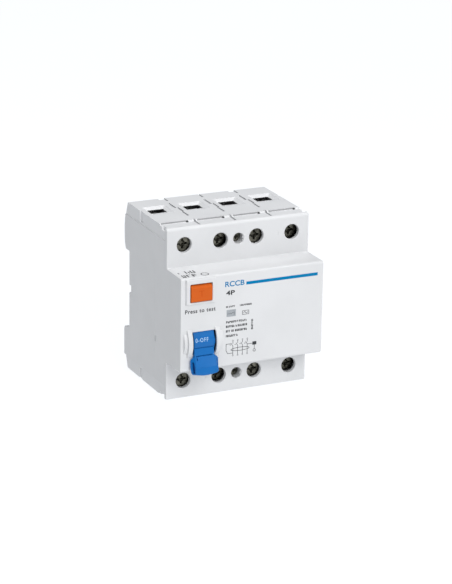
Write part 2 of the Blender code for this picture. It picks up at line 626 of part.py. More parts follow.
def toggle_lever():
    """The drum that fills the window and the wide paddle that a finger moves. It rests in the OFF place."""
    centre = (TOGGLE_Y, TOGGLE_Z)
    drum_x = (TOGGLE_X - DRUM_HALF_WIDTH, TOGGLE_X + DRUM_HALF_WIDTH)
    body = rod("toggle_lever", "X", DRUM_R, centre, drum_x, "toggle_blue", sides=48)
    neck = [
        (-58.5 * mm, -10.2 * mm), (-61.1 * mm, -10.9 * mm), (-61.8 * mm, -14.3 * mm), (-61.6 * mm, -15.4 * mm),
        (-60.5 * mm, -15.2 * mm), (-60.2 * mm, -13.9 * mm), (-58.5 * mm, -12.9 * mm),
    ]
    join(body, plate("toggle_neck", neck, drum_x))
    join(body, paddle_block())
    cut(body, rod("toggle_pin_hole", "X", 1.5 * mm, centre, (-40 * mm, -10 * mm), sides=16))
    cut(body, rod("toggle_spring_room", "X", 3.4 * mm, centre, (drum_x[1] - 3.9 * mm, drum_x[1] + 1 * mm)))
    slot_x = (TOGGLE_X - 1.5 * mm, TOGGLE_X + 1.0 * mm)
    cut(body, box("link_slot", slot_x, (-56.0 * mm, -40 * mm), (-7.0 * mm, 4 * mm)))
    crank_x = (TOGGLE_X - 4.2 * mm, TOGGLE_X)
    cut(body, rod("crank_hole", "X", 1.1 * mm, CRANK, crank_x, sides=14))
    return origin_at(body, (TOGGLE_X, *centre))


def paddle_block():
    """The paddle: it widens from the neck, its back is wider than its front, and its lower edge is bowed."""
    rows = (
        (4.9 * mm, (-61.8 * mm, -14.3 * mm), 5.2 * mm, (-60.5 * mm, -15.2 * mm), 0.0),
        (5.2 * mm, (-62.9 * mm, -16.3 * mm), 6.9 * mm, (-61.0 * mm, -16.7 * mm), 0.1 * mm),
        (5.5 * mm, (-64.4 * mm, -19.1 * mm), 7.0 * mm, (-61.5 * mm, -19.8 * mm), 0.3 * mm),
        (5.6 * mm, (-65.3 * mm, -21.0 * mm), 6.8 * mm, (-62.4 * mm, -21.4 * mm), 0.6 * mm),
        (5.2 * mm, (-65.2 * mm, -21.8 * mm), 6.1 * mm, (-63.4 * mm, -22.3 * mm), 0.9 * mm),
    )
    across = (-1.0, -0.55, 0.0, 0.55, 1.0)
    shape = bmesh.new()
    rings = []
    for front_half, front, back_half, back, bow in rows:
        ring = []
        for half, (y, z), order in ((front_half, front, across), (back_half, back, reversed(across))):
            for t in order:
                ring.append(shape.verts.new((TOGGLE_X + half * t, y, z - bow * (1 - t * t))))
        rings.append(ring)
    for upper, lower in zip(rings, rings[1:]):
        for n in range(len(upper)):
            m = (n + 1) % len(upper)
            shape.faces.new((upper[n], upper[m], lower[m], lower[n]))
    shape.faces.new(rings[0])
    shape.faces.new(rings[-1])
    return from_bmesh("paddle", shape, None)


def toggle_link():
    """The bent wire that joins the toggle's crank to the latch lever."""
    outer = TOGGLE_X - 3.2 * mm
    inner = TOGGLE_X - 0.2 * mm
    points = [(outer, *CRANK), (inner, *CRANK), (inner, *LINK_END), (outer, *LINK_END)]
    return origin_at(wire("toggle_link", points, 0.7 * mm, "spring_steel"), (inner, *CRANK))


def latch_lever():
    """The cradle that the link turns: its nose lifts the carrier's finger as the toggle goes up."""
    outline = [
        (-31.9 * mm, -11.2 * mm), (-35.6 * mm, -11.2 * mm), (-39.5 * mm, -6.4 * mm), (-42.9 * mm, -3.8 * mm),
        (-42.6 * mm, -3.0 * mm), (-39.0 * mm, -3.8 * mm), (-38.4 * mm, -1.4 * mm), (-33.2 * mm, -1.4 * mm),
        (-31.9 * mm, -6.6 * mm),
    ]
    x = (TOGGLE_X - 4.6 * mm, TOGGLE_X - 2.4 * mm)
    body = plate("latch_lever", outline, x, "steel")
    cut(body, rod("latch_pivot_hole", "X", 1.3 * mm, LATCH_AXIS, (-36 * mm, -14 * mm), sides=16))
    cut(body, rod("latch_link_hole", "X", 1.1 * mm, LINK_END, (-36 * mm, -14 * mm), sides=16))
    return origin_at(body, (sum(x) / 2, *LATCH_AXIS))


def trip_lever():
    """The lever that the relay's plunger knocks to free the latch."""
    outline = [
        (-34.4 * mm, -18.6 * mm), (-31.2 * mm, -18.6 * mm), (-30.3 * mm, -13.0 * mm), (-30.3 * mm, -10.6 * mm),
        (-31.6 * mm, -10.6 * mm), (-34.4 * mm, -15.2 * mm),
    ]
    x = (TOGGLE_X - 1.1 * mm, TOGGLE_X + 1.1 * mm)
    body = plate("trip_lever", outline, x, "steel")
    cut(body, rod("trip_pivot_hole", "X", 1.15 * mm, TRIP_AXIS, (-36 * mm, -14 * mm), sides=16))
    return origin_at(body, (TOGGLE_X, *TRIP_AXIS))


def test_button():
    """The orange push button, with the flange that keeps it in and the stem that bends the leaf."""
    x = (BUTTON_X - BUTTON_HALF[0], BUTTON_X + BUTTON_HALF[0])
    z = (BUTTON_Z - BUTTON_HALF[1], BUTTON_Z + BUTTON_HALF[1])
    body = box("test_button", x, (FACE_Y - 1.9 * mm, FACE_Y + 3 * mm), z, "button_orange", 0.5 * mm, 2)
    flange_x = (x[0] - 1 * mm, x[1] + 1 * mm)
    flange_z = (z[0] - 1 * mm, z[1] + 1 * mm)
    flange_y = (FACE_Y + WALL + 0.4 * mm, FACE_Y + WALL + 1.6 * mm)
    join(body, box("button_flange", flange_x, flange_y, flange_z))
    join(body, box("button_stem", (-27.5 * mm, -24.7 * mm), (-57 * mm, -52.5 * mm), (13.5 * mm, 16.5 * mm)))
    return origin_at(body, (BUTTON_X, FACE_Y, BUTTON_Z))


def test_leaf():
    """The leaf spring that returns the button and closes the test circuit."""
    return origin_at(
        box("test_leaf", (-30 * mm, -11 * mm), (-52.0 * mm, -51.4 * mm), (13.6 * mm, 16.4 * mm), "spring_steel"),
        (-12 * mm, -51.7 * mm, 15 * mm),
    )


def test_resistor():
    body = rod("test_resistor", "X", 2.3 * mm, (-46 * mm, 15 * mm), (-8 * mm, 5 * mm), "resistor", sides=18)
    round_edges(body, 0.5 * mm, 2)
    join(body, rod("resistor_leads", "X", 0.4 * mm, (-46 * mm, 15 * mm), (-13 * mm, 10 * mm), sides=8))
    return body


def circuit_board():
    """The board between the transformer's winding and the relay."""
    body = box("circuit_board", (-14 * mm, 24 * mm), (-36 * mm, -34.6 * mm), (-18 * mm, -5 * mm), "board")
    join(body, rod("board_capacitor", "Y", 3.5 * mm, (16 * mm, -11 * mm), (-46 * mm, -35.5 * mm), sides=20))
    join(body, box("board_rectifier", (-2 * mm, 6 * mm), (-38.5 * mm, -35.5 * mm), (-14 * mm, -8 * mm)))
    return body


def din_clip(word, x):
    """A sliding rail clip: the hook that grips the rail, a spring window and a pull tab."""
    half = CLIP_HALF_WIDTH
    outline = [
        (1.9 * mm, -42.6 * mm), (4.9 * mm, -42.6 * mm), (4.9 * mm, -20.6 * mm), (3.8 * mm, -17.6 * mm),
        (2.6 * mm, -16.2 * mm), (1.7 * mm, -16.2 * mm), (1.7 * mm, -19.4 * mm), (1.9 * mm, -19.8 * mm),
    ]
    body = plate("din_clip_" + word, outline, (x - half, x + half), "clip_plastic")
    window_z = (-34.2 * mm, -24.3 * mm)
    cut(body, box("clip_window_" + word, (x - 2.2 * mm, x + 2.2 * mm), (0, 7 * mm), window_z))
    cut(body, box("clip_tab_slot_" + word, (x - 3 * mm, x + 3 * mm), (0, 7 * mm), (-41.8 * mm, -40.7 * mm)))
    return body


def din_clip_spring(word, x):
    return coil("din_clip_spring_" + word, "Z", (x, 3.4 * mm), (-31.4 * mm, -24.8 * mm), 1.3 * mm, 0.2 * mm, 5, "spring_steel")


def cover_screw(word, side):
    """One of the two screws that hold the front cover on."""
    z = TERMINAL_Z * side
    front = -40.6 * mm
    body = rod("cover_screw_" + word, "Y", 2.3 * mm, (0, z), (front, -39.2 * mm), "steel", sides=20)
    join(body, rod(f"cover_screw_{word}_shank", "Y", COVER_SCREW_R, (0, z), (-39.6 * mm, -24 * mm), sides=12))
    for n, (half_x, half_z) in enumerate(((1.4 * mm, 0.3 * mm), (0.3 * mm, 1.4 * mm))):
        slot_y = (front - 1 * mm, front + 0.8 * mm)
        cut(body, box(f"cover_screw_{word}_slot_{n}", (-half_x, half_x), slot_y, (z - half_z, z + half_z)))
    return body


def build():
    base_housing()
    front_cover()
    for word, side in (("top", 1), ("bottom", -1)):
        terminal_cap("terminal_cap_" + word, side)
        terminal_frame("terminal_frame_" + word, side)
        cover_screw(word, side)
        for n, x in enumerate(POLES):
            terminal_screw(f"terminal_screw_{word}_{n + 1}", x, side, HEAD_DEPTHS[n])
            terminal_cage(f"terminal_cage_{word}_{n + 1}", x, side)
    lanes = (
        (CORE_CENTRE[0] - 2.3 * mm, CORE_CENTRE[1] + 2.3 * mm), (CORE_CENTRE[0] - 2.3 * mm, CORE_CENTRE[1] - 2.3 * mm),
        (CORE_CENTRE[0] + 2.3 * mm, CORE_CENTRE[1] - 2.3 * mm), (CORE_CENTRE[0] + 2.3 * mm, CORE_CENTRE[1] + 2.3 * mm),
    )
    for n, x in enumerate(POLES):
        line_contact(f"line_contact_{n + 1}", x)
        moving_contact(f"moving_contact_{n + 1}", x)
        load_conductor(f"load_conductor_{n + 1}", x, *lanes[n])
    contact_carrier()
    transformer_core()
    secondary_winding()
    trip_relay()
    rod("relay_plunger", "Y", 1.2 * mm, (-24.5 * mm, -11.5 * mm), (-29.9 * mm, -16 * mm), "steel", sides=14)
    mechanism_frame()
    toggle_lever()
    pin_x = (FRAME_PLATES[0] - 1.2 * mm, FRAME_PLATES[1] + 1.2 * mm)
    rod("toggle_pin", "X", 1.2 * mm, (TOGGLE_Y, TOGGLE_Z), pin_x, "steel", sides=14)
    coil("toggle_spring", "X", (TOGGLE_Y, TOGGLE_Z), (-22.8 * mm, -19.4 * mm), 2.4 * mm, 0.3 * mm, 4, "spring_steel")
    toggle_link()
    latch_lever()
    rod("latch_pin", "X", 1.0 * mm, LATCH_AXIS, pin_x, "steel", sides=14)
    coil("latch_spring", "X", LATCH_AXIS, (-22.4 * mm, -18.2 * mm), 1.8 * mm, 0.3 * mm, 4, "spring_steel")
    trip_lever()
    rod("trip_pin", "X", 0.9 * mm, TRIP_AXIS, pin_x, "steel", sides=14)
    test_button()
    test_leaf()
    test_resistor()
    circuit_board()
    for word, x in CLIPS.items():
        din_clip(word, x)
        din_clip_spring(word, x)


build()
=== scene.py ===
"""The looks of a four-pole residual current device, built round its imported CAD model.

Frame: metres, +Z up, the front face towards -Y. Lengths below are given in millimetres times mm.
"""

import json
import math
import random

import bmesh
import bpy
from mathutils import Matrix, Vector


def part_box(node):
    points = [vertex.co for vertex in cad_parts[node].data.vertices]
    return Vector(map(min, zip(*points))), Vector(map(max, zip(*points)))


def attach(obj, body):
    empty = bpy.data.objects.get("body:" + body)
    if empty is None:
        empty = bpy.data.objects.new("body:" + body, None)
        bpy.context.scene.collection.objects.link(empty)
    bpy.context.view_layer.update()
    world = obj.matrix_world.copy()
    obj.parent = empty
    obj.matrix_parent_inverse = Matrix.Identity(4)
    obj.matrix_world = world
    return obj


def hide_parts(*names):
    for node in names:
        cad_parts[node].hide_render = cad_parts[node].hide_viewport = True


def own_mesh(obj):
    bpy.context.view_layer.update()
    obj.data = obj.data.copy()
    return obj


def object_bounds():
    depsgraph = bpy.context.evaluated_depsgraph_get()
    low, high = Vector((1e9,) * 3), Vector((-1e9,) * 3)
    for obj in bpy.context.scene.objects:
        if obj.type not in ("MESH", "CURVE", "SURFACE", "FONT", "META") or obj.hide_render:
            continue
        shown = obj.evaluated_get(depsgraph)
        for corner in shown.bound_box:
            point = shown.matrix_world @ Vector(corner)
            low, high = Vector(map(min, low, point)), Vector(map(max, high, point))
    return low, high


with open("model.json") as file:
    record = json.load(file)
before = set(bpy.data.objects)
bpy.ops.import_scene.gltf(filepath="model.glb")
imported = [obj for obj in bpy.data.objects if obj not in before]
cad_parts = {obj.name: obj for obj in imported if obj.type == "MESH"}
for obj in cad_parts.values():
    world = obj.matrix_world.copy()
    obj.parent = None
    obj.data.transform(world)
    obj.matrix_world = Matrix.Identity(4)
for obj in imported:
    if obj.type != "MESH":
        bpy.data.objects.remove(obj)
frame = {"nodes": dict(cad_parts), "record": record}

cad_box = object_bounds()
mm = 0.001


def middle_x(node):
    low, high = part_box(node)
    return (low.x + high.x) / 2


# ---------------------------------------------------------------- sizes
# The first five are read from the CAD model. The others repeat the part's sizes, or belong to the looks.
COVER_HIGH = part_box("front_cover")[1]
HALF_WIDTH = COVER_HIGH.x
HALF_HEIGHT = COVER_HIGH.z
SEAM_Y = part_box("base_housing")[0].y
POLES = [middle_x(f"terminal_screw_top_{n}") for n in range(1, 5)]
SHOULDER_Y = -44.0 * mm
FACE_Y = -60.0 * mm
WINDOW_HALF_HEIGHT = 22.2 * mm
TERMINAL_Z = 32.6 * mm
PLATE_Y = SHOULDER_Y + 2.0 * mm
WALL = 1.8 * mm
GAP = 0.3 * mm
SEAM_Z = 35.0 * mm
CLIP_X = 18 * mm
SCREW_HOLE_R = 3.65 * mm
COVER_HOLE_R = 2.6 * mm
SIDE_LATCH_Z = (-16.4 * mm, -13.6 * mm)
# Each screw's cross is the reach, the half width and the depth of its slots.
CLAMP_SCREW = {
    "radius": 3.9 * mm, "thick": 3.0 * mm, "shank": 2.0 * mm, "cross": (2.7 * mm, 0.6 * mm, 1.5 * mm),
}
HOUSING_SCREW = {
    "radius": 2.3 * mm, "thick": 1.4 * mm, "shank": 1.4 * mm, "cross": (1.5 * mm, 0.3 * mm, 0.9 * mm),
}
TOGGLE_X = -24.5 * mm
TOGGLE = (-52.3 * mm, -8.9 * mm)
DRUM_R = 9.0 * mm
DRUM_HALF = 4.9 * mm
WINDOW_R = DRUM_R + 0.35 * mm
WINDOW_HALF = 5.9 * mm
PIN_HOLE_R = 1.5 * mm
CHEEK_R = 10.25 * mm
CHEEK_STEP_R = 9.1 * mm
CHEEK_OUT = 2.1 * mm
CHEEK_STEP_OUT = 3.7 * mm
BUTTON = (-26.1 * mm, 15.0 * mm)
BUTTON_HALF = (5.2 * mm, 3.9 * mm)
BUTTON_FRONT = FACE_Y - 1.9 * mm
INK_DEPTH = 0.03 * mm
CARRIER = (-27.0 * mm, 3.0 * mm)


# ---------------------------------------------------------------- materials
def shader_of(name):
    material = bpy.data.materials.new(name)
    material.use_nodes = True
    tree = material.node_tree
    return material, tree.nodes, tree.links, tree.nodes["Principled BSDF"]


def noise(nodes, links, scale, detail, stretch=(1, 1, 1), rough=0.5):
    coord = nodes.new("ShaderNodeTexCoord")
    mapping = nodes.new("ShaderNodeMapping")
    mapping.inputs["Scale"].default_value = stretch
    texture = nodes.new("ShaderNodeTexNoise")
    texture.inputs["Scale"].default_value = scale
    texture.inputs["Detail"].default_value = detail
    texture.inputs["Roughness"].default_value = rough
    links.new(coord.outputs["Object"], mapping.inputs["Vector"])
    links.new(mapping.outputs["Vector"], texture.inputs["Vector"])
    return texture


def tinted(nodes, links, shader, texture, colours, low=0.35, high=0.65):
    """Base colour that wanders between two near colours with the texture."""
    ramp = nodes.new("ShaderNodeValToRGB")
    ramp.color_ramp.elements[0].position = low
    ramp.color_ramp.elements[1].position = high
    ramp.color_ramp.elements[0].color = (*colours[0], 1)
    ramp.color_ramp.elements[1].color = (*colours[1], 1)
    links.new(texture.outputs["Fac"], ramp.inputs["Fac"])
    links.new(ramp.outputs["Color"], shader.inputs["Base Color"])


def roughened(nodes, links, shader, texture, low, high):
    spread = nodes.new("ShaderNodeMapRange")
    spread.inputs["From Min"].default_value = 0.3
    spread.inputs["From Max"].default_value = 0.7
    spread.inputs["To Min"].default_value = low
    spread.inputs["To Max"].default_value = high
    links.new(texture.outputs["Fac"], spread.inputs["Value"])
    links.new(spread.outputs["Result"], shader.inputs["Roughness"])


def bumped(nodes, links, shader, texture, strength, distance):
    bump = nodes.new("ShaderNodeBump")
    bump.inputs["Strength"].default_value = strength
    bump.inputs["Distance"].default_value = distance
    links.new(texture.outputs["Fac"], bump.inputs["Height"])
    links.new(bump.outputs["Normal"], shader.inputs["Normal"])


def moulded(name, colour, rough=(0.42, 0.5), grain=2600.0, depth=0.02 * mm, spread=0.02, shine=0.4):
    """Injection-moulded plastic: a spark-eroded grain, faint flow clouds and a slightly uneven gloss."""
    material, nodes, links, shader = shader_of(name)
    clouds = noise(nodes, links, 55.0, 3.0)
    darker = tuple(c * (1 - spread) for c in colour)
    lighter = tuple(min(1.0, c * (1 + spread)) for c in colour)
    tinted(nodes, links, shader, clouds, (darker, lighter))
    fine = noise(nodes, links, grain, 3.0)
    roughened(nodes, links, shader, fine, *rough)
    bumped(nodes, links, shader, fine, 0.35, depth)
    shader.inputs["Specular IOR Level"].default_value = shine
    return material


def metal(name, colours, rough=(0.25, 0.42), stretch=(1, 1, 1), scale=900.0, depth=0.01 * mm):
    """Plated or drawn metal: fine marks along one direction and cloudy tarnish."""
    material, nodes, links, shader = shader_of(name)
    tarnish = noise(nodes, links, 420.0, 4.0)
    tinted(nodes, links, shader, tarnish, colours)
    marks = noise(nodes, links, scale, 5.0, stretch)
    roughened(nodes, links, shader, marks, *rough)
    bumped(nodes, links, shader, marks, 0.3, depth)
    shader.inputs["Metallic"].default_value = 1.0
    return material


def ink(name, colour, rough=0.5):
    """Pad-printed ink, slightly thin in places."""
    material, nodes, links, shader = shader_of(name)
    thin = noise(nodes, links, 1500.0, 2.0)
    tinted(nodes, links, shader, thin, (colour, tuple(min(1.0, c * 1.15 + 0.002) for c in colour)))
    shader.inputs["Roughness"].default_value = rough
    shader.inputs["Specular IOR Level"].default_value = 0.04
    return material


HOUSING = moulded("housing_plastic", (0.667, 0.670, 0.678))
CAP = moulded("cap_plastic", (0.712, 0.715, 0.725), (0.46, 0.54), 2200.0)
# Black inner plastic, kept darker than the plastic itself so that the wire holes read black, partly painted
# shade; the same near-black also serves as painted shade in the toggle window and the cap latch slots.
INNER_BLACK_AND_SHADE = moulded("inner_black_plastic_and_painted_shade", (0.014, 0.014, 0.015), (0.5, 0.6))
BLUE = moulded("toggle_blue_plastic", (0.003, 0.125, 0.40), (0.3, 0.4), 1800.0, 0.012 * mm, 0.06, 0.26)
ORANGE = moulded("button_orange_plastic", (0.60, 0.104, 0.006), (0.3, 0.4), 1800.0, 0.012 * mm, 0.04, 0.2)
CLIP = moulded("clip_grey_plastic", (0.52, 0.525, 0.54), (0.48, 0.58))
ZINC = metal("zinc_plated_steel", ((0.07, 0.068, 0.056), (0.17, 0.165, 0.135)), (0.2, 0.36))
STEEL = metal("rolled_steel", ((0.42, 0.42, 0.41), (0.55, 0.55, 0.54)), (0.28, 0.45), (1, 1, 9))
SPRING = metal("spring_steel", ((0.5, 0.5, 0.5), (0.62, 0.62, 0.63)), (0.18, 0.3), (4, 1, 1))
COPPER = metal("bare_copper", ((0.62, 0.25, 0.13), (0.75, 0.36, 0.2)), (0.25, 0.4), (1, 1, 6))
BOARD = moulded("solder_mask_board", (0.02, 0.16, 0.07), (0.3, 0.4), 1200.0, 0.01 * mm, 0.12)
LACQUER = moulded("resistor_lacquer", (0.42, 0.31, 0.18), (0.25, 0.35), 1400.0, 0.01 * mm, 0.1)
INK_DARK = ink("print_grey_ink", (0.05, 0.052, 0.056))
INK_PALE = ink("print_pale_grey_ink", (0.33, 0.35, 0.37))
INK_BLUE = ink("print_blue_ink", (0.001, 0.17, 0.37))
INK_WHITE = ink("print_white_ink", (0.46, 0.64, 0.82))
# Painted shade: a mid grey that stands for the shadow inside the narrow flap grooves on the caps.
PAINTED_SEAM_SHADE = moulded("flap_seam_painted_shade_grey", (0.34, 0.34, 0.35), (0.6, 0.7))
# Painted shade: a dark navy that stands for the shadow deep in the paddle's side pockets.
SHADE_BLUE = ink("toggle_pocket_painted_shade_blue", (0.004, 0.035, 0.16))
SHADE_ORANGE = ink("button_mark_orange", (0.5, 0.075, 0.01))


# ---------------------------------------------------------------- mesh helpers
def new_object(name, shape):
    bmesh.ops.recalc_face_normals(shape, faces=shape.faces)
    mesh = bpy.data.meshes.new(name)
    shape.to_mesh(mesh)
    shape.free()
    obj = bpy.data.objects.new(name, mesh)
    bpy.context.scene.collection.objects.link(obj)
    return obj


def box(name, x, y, z):
    low = Vector((min(x), min(y), min(z)))
    size = Vector((max(x), max(y), max(z))) - low
    shape = bmesh.new()
    bmesh.ops.create_cube(shape, size=1.0)
    bmesh.ops.transform(shape, matrix=Matrix.Diagonal((*size, 1)), verts=shape.verts)
    bmesh.ops.translate(shape, vec=low + size / 2, verts=shape.verts)
    return new_object(name, shape)


AXIS_TURN = {
    "X": Matrix.Rotation(math.pi / 2, 4, "Y"),
    "Y": Matrix.Rotation(-math.pi / 2, 4, "X"),
    "Z": Matrix.Identity(4),
}


def rod(name, axis, radius, centre, span, sides=48, end_radius=None):
    """A cylinder or cone along one axis; end_radius is the radius at the higher end of the span."""
    a, b = centre
    middle = (span[0] + span[1]) / 2
    place = {"X": (middle, a, b), "Y": (a, middle, b), "Z": (a, b, middle)}[axis]
    shape = bmesh.new()
    bmesh.ops.create_cone(
        shape,
        cap_ends=True,
        segments=sides,
        radius1=radius,
        radius2=radius if end_radius is None else end_radius,
        depth=abs(span[1] - span[0]),
    )
    bmesh.ops.transform(shape, matrix=Matrix.Translation(place) @ AXIS_TURN[axis], verts=shape.verts)
    return new_object(name, shape)


def prism(name, outline, x):
    """A closed outline of (y, z) points, extruded along X."""
    shape = bmesh.new()
    rings = [[shape.verts.new((at, y, z)) for y, z in outline] for at in x]
    count = len(outline)
    for n in range(count):
        m = (n + 1) % count
        shape.faces.new((rings[0][n], rings[0][m], rings[1][m], rings[1][n]))
    for ring in rings:
        shape.faces.new(ring)
    return new_object(name, shape)


def loft(name, rings):
    """A closed skin through rings that have equally many points."""
    shape = bmesh.new()
    made = [[shape.verts.new(p) for p in ring] for ring in rings]
    count = len(made[0])
    for lower, upper in zip(made, made[1:]):
        for n in range(count):
            m = (n + 1) % count
            shape.faces.new((lower[n], lower[m], upper[m], upper[n]))
    shape.faces.new(made[0])
    shape.faces.new(made[-1])
    return new_object(name, shape)


def baked(obj):
    """Applies the object's modifiers to its mesh."""
    bpy.context.view_layer.update()
    graph = bpy.context.evaluated_depsgraph_get()
    mesh = bpy.data.meshes.new_from_object(obj.evaluated_get(graph))
    obj.modifiers.clear()
    obj.data = mesh
    return obj


def bevelled(obj, width, segments=3, angle=30):
    edge = obj.modifiers.new("bevel", "BEVEL")
    edge.width = width
    edge.segments = segments
    edge.limit_method = "ANGLE"
    edge.angle_limit = math.radians(angle)
    edge.miter_outer = "MITER_ARC"
    return baked(obj)


def combined(obj, operation, tools):
    tools = list(tools)
    for tool in tools:
        step = obj.modifiers.new("cut", "BOOLEAN")
        step.operation = operation
        step.solver = "MANIFOLD"
        step.object = tool
    baked(obj)
    for tool in tools:
        bpy.data.objects.remove(tool)
    return obj


def cut(obj, *tools):
    return combined(obj, "DIFFERENCE", tools)


def join(obj, *tools):
    return combined(obj, "UNION", tools)


def finished(obj, body, material, nodes=(), angle=32):
    """Cleans the mesh, shades it, and hangs the piece on its body."""
    shape = bmesh.new()
    shape.from_mesh(obj.data)
    bmesh.ops.remove_doubles(shape, verts=shape.verts, dist=0.002 * mm)
    bmesh.ops.dissolve_degenerate(shape, edges=shape.edges, dist=0.001 * mm)
    shape.to_mesh(obj.data)
    shape.free()
    obj.data.materials.clear()
    obj.data.materials.append(material)
    for face in obj.data.polygons:
        face.use_smooth = True
    obj.data.set_sharp_from_angle(angle=math.radians(angle))
    weighted = obj.modifiers.new("weighted_normal", "WEIGHTED_NORMAL")
    weighted.keep_sharp = True
    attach(obj, body)
    if nodes:
        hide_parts(*nodes)
    return obj


def arc(centre, radius, start, end, steps):
    """Points of (y, z) on an arc, in degrees from -Y towards +Z."""
    points = []
    for n in range(steps + 1):
        angle = math.radians(start + (end - start) * n / steps)
        points.append((centre[0] - radius * math.cos(angle), centre[1] + radius * math.sin(angle)))
    return points


def both_ways(span, side):
    return (span[0] * side, span[1] * side)


# ---------------------------------------------------------------- front cover
def cheek(name, x, radius, round_over):
    """A guard beside the toggle: the segment of a disc that stands proud of the face."""
    reach = math.degrees(math.acos((TOGGLE[0] - FACE_Y - 0.6 * mm) / radius))
    return bevelled(prism(name, arc(TOGGLE, radius, -reach, reach, 40), x), round_over, 4, 50)


def bezel():
    """The raised frame round the test button: its sides slope and its edges are soft."""
    x, z = 7.7 * mm, 6.4 * mm
    middle = 15.5 * mm
    frame_y = (FACE_Y - 1.25 * mm, FACE_Y + 1 * mm)
    frame_block = box("bezel", (BUTTON[0] - x, BUTTON[0] + x), frame_y, (middle - z, middle + z))
    for vertex in frame_block.data.vertices:
        if vertex.co.y < FACE_Y:
            vertex.co.x += 0.6 * mm if vertex.co.x < BUTTON[0] else -0.6 * mm
            vertex.co.z += 0.8 * mm if vertex.co.z < middle else -0.3 * mm
    return bevelled(frame_block, 0.3 * mm, 3)


def screw_hole(name, x, z, radius, back):
    """A round hole with a softened mouth."""
    hole = rod(name, "Y", radius, (x, z), (SHOULDER_Y - 1 * mm, back), 64)
    mouth_y = (SHOULDER_Y - 0.25 * mm, SHOULDER_Y + 0.25 * mm)
    mouth = rod(name + "_mouth", "Y", radius + 0.5 * mm, (x, z), mouth_y, 64, radius)
    return [hole, mouth]


def front_cover():
    """The front shell: terminal plates, the nose and its windows, the bezel and the toggle's guards."""
    fillet = 1.6 * mm
    nose = 1.0 * mm
    outline = [
        (SEAM_Y - GAP, SEAM_Z), (PLATE_Y, SEAM_Z), (PLATE_Y, HALF_HEIGHT),
        *reversed(arc((SHOULDER_Y + fillet, HALF_HEIGHT - fillet), fillet, 0, 90, 10)),
        (SHOULDER_Y, WINDOW_HALF_HEIGHT),
        *reversed(arc((FACE_Y + nose, WINDOW_HALF_HEIGHT - nose), nose, 0, 90, 8)),
        *reversed(arc((FACE_Y + nose, -WINDOW_HALF_HEIGHT + nose), nose, -90, 0, 8)),
        (SHOULDER_Y, -WINDOW_HALF_HEIGHT - 0.9 * mm),
        *reversed(arc((SHOULDER_Y + 0.5 * mm, -HALF_HEIGHT + 0.5 * mm), 0.5 * mm, -90, 0, 4)),
        (PLATE_Y, -HALF_HEIGHT), (PLATE_Y, -SEAM_Z), (SEAM_Y - GAP, -SEAM_Z),
    ]
    body = bevelled(prism("front_shell", outline, (-HALF_WIDTH, HALF_WIDTH)), 0.4 * mm, 3, 50)
    room = (-HALF_WIDTH + WALL, HALF_WIDTH - WALL)
    inner_z = WINDOW_HALF_HEIGHT - WALL
    cut(
        body,
        box("nose_room", room, (FACE_Y + WALL, SEAM_Y + 2 * mm), (-inner_z, inner_z)),
        box("plate_room", room, (PLATE_Y, SEAM_Y + 2 * mm), (-36 * mm, 36 * mm)),
    )
    post_y = (PLATE_Y - 0.5 * mm, -38.0 * mm)
    join(body, *(rod(f"post_{side}", "Y", 4.0 * mm, (0, TERMINAL_Z * side), post_y) for side in (1, -1)))
    cutters = []
    for side in (1, -1):
        z = TERMINAL_Z * side
        for n, x in enumerate(POLES):
            cutters += screw_hole(f"screw_hole_{side}_{n}", x, z, SCREW_HOLE_R, PLATE_Y + 1 * mm)
        cutters += screw_hole(f"cover_hole_{side}", 0, z, COVER_HOLE_R, -38.9 * mm)
        cutters.append(rod(f"cover_way_{side}", "Y", 1.7 * mm, (0, z), (-40 * mm, -37 * mm), 32))
    for side in (-1, 1):
        seat_x = (side * (HALF_WIDTH - 0.5 * mm), side * (HALF_WIDTH + 1 * mm))
        cutters.append(box(f"side_latch_{side}", seat_x, (SEAM_Y - 1.6 * mm, SEAM_Y + 1 * mm), SIDE_LATCH_Z))
    cut(body, *cutters)
    left = TOGGLE_X - WINDOW_HALF
    right = TOGGLE_X + WINDOW_HALF
    join(
        body,
        bezel(),
        cheek("cheek_left", (left - CHEEK_OUT, left + 0.2 * mm), CHEEK_R, 0.45 * mm),
        cheek("cheek_right", (right - 0.2 * mm, right + CHEEK_OUT), CHEEK_R, 0.45 * mm),
        cheek("cheek_step_left", (left - CHEEK_STEP_OUT, left - 1 * mm), CHEEK_STEP_R, 0.4 * mm),
        cheek("cheek_step_right", (right + 1 * mm, right + CHEEK_STEP_OUT), CHEEK_STEP_R, 0.4 * mm),
    )
    half_x = BUTTON_HALF[0] + GAP
    half_z = BUTTON_HALF[1] + GAP
    front_x = (left + 0.001 * mm, right - 0.001 * mm)
    front_z = (TOGGLE[1] - 5.2 * mm, TOGGLE[1] + 5.2 * mm)
    button_x = (BUTTON[0] - half_x, BUTTON[0] + half_x)
    button_z = (BUTTON[1] - half_z, BUTTON[1] + half_z + 0.3 * mm)
    cut(
        body,
        rod("toggle_window", "X", WINDOW_R, TOGGLE, (left, right), 128),
        box("toggle_window_front", front_x, (FACE_Y - 4 * mm, FACE_Y + 0.5 * mm), front_z),
        bevelled(box("button_window", button_x, (FACE_Y - 3 * mm, FACE_Y + 3 * mm), button_z), 0.4 * mm, 3),
    )
    # Painted shade: thin near-black sectors at the window's sides, so that the gaps beside the drum read as
    # deep shadow.
    rear_y = TOGGLE[0] + 4 * mm
    sector = arc(TOGGLE, WINDOW_R - 0.15 * mm, -62, 62, 40)
    sector += [(rear_y, TOGGLE[1] + 6 * mm), (rear_y, TOGGLE[1] - 6 * mm)]
    for n, x in enumerate((left - 0.05 * mm, right - 0.1 * mm)):
        finished(prism(f"window_side_painted_shade_{n}", sector, (x, x + 0.15 * mm)), "housing", INNER_BLACK_AND_SHADE)
    return finished(body, "housing", HOUSING, ["front_cover"])


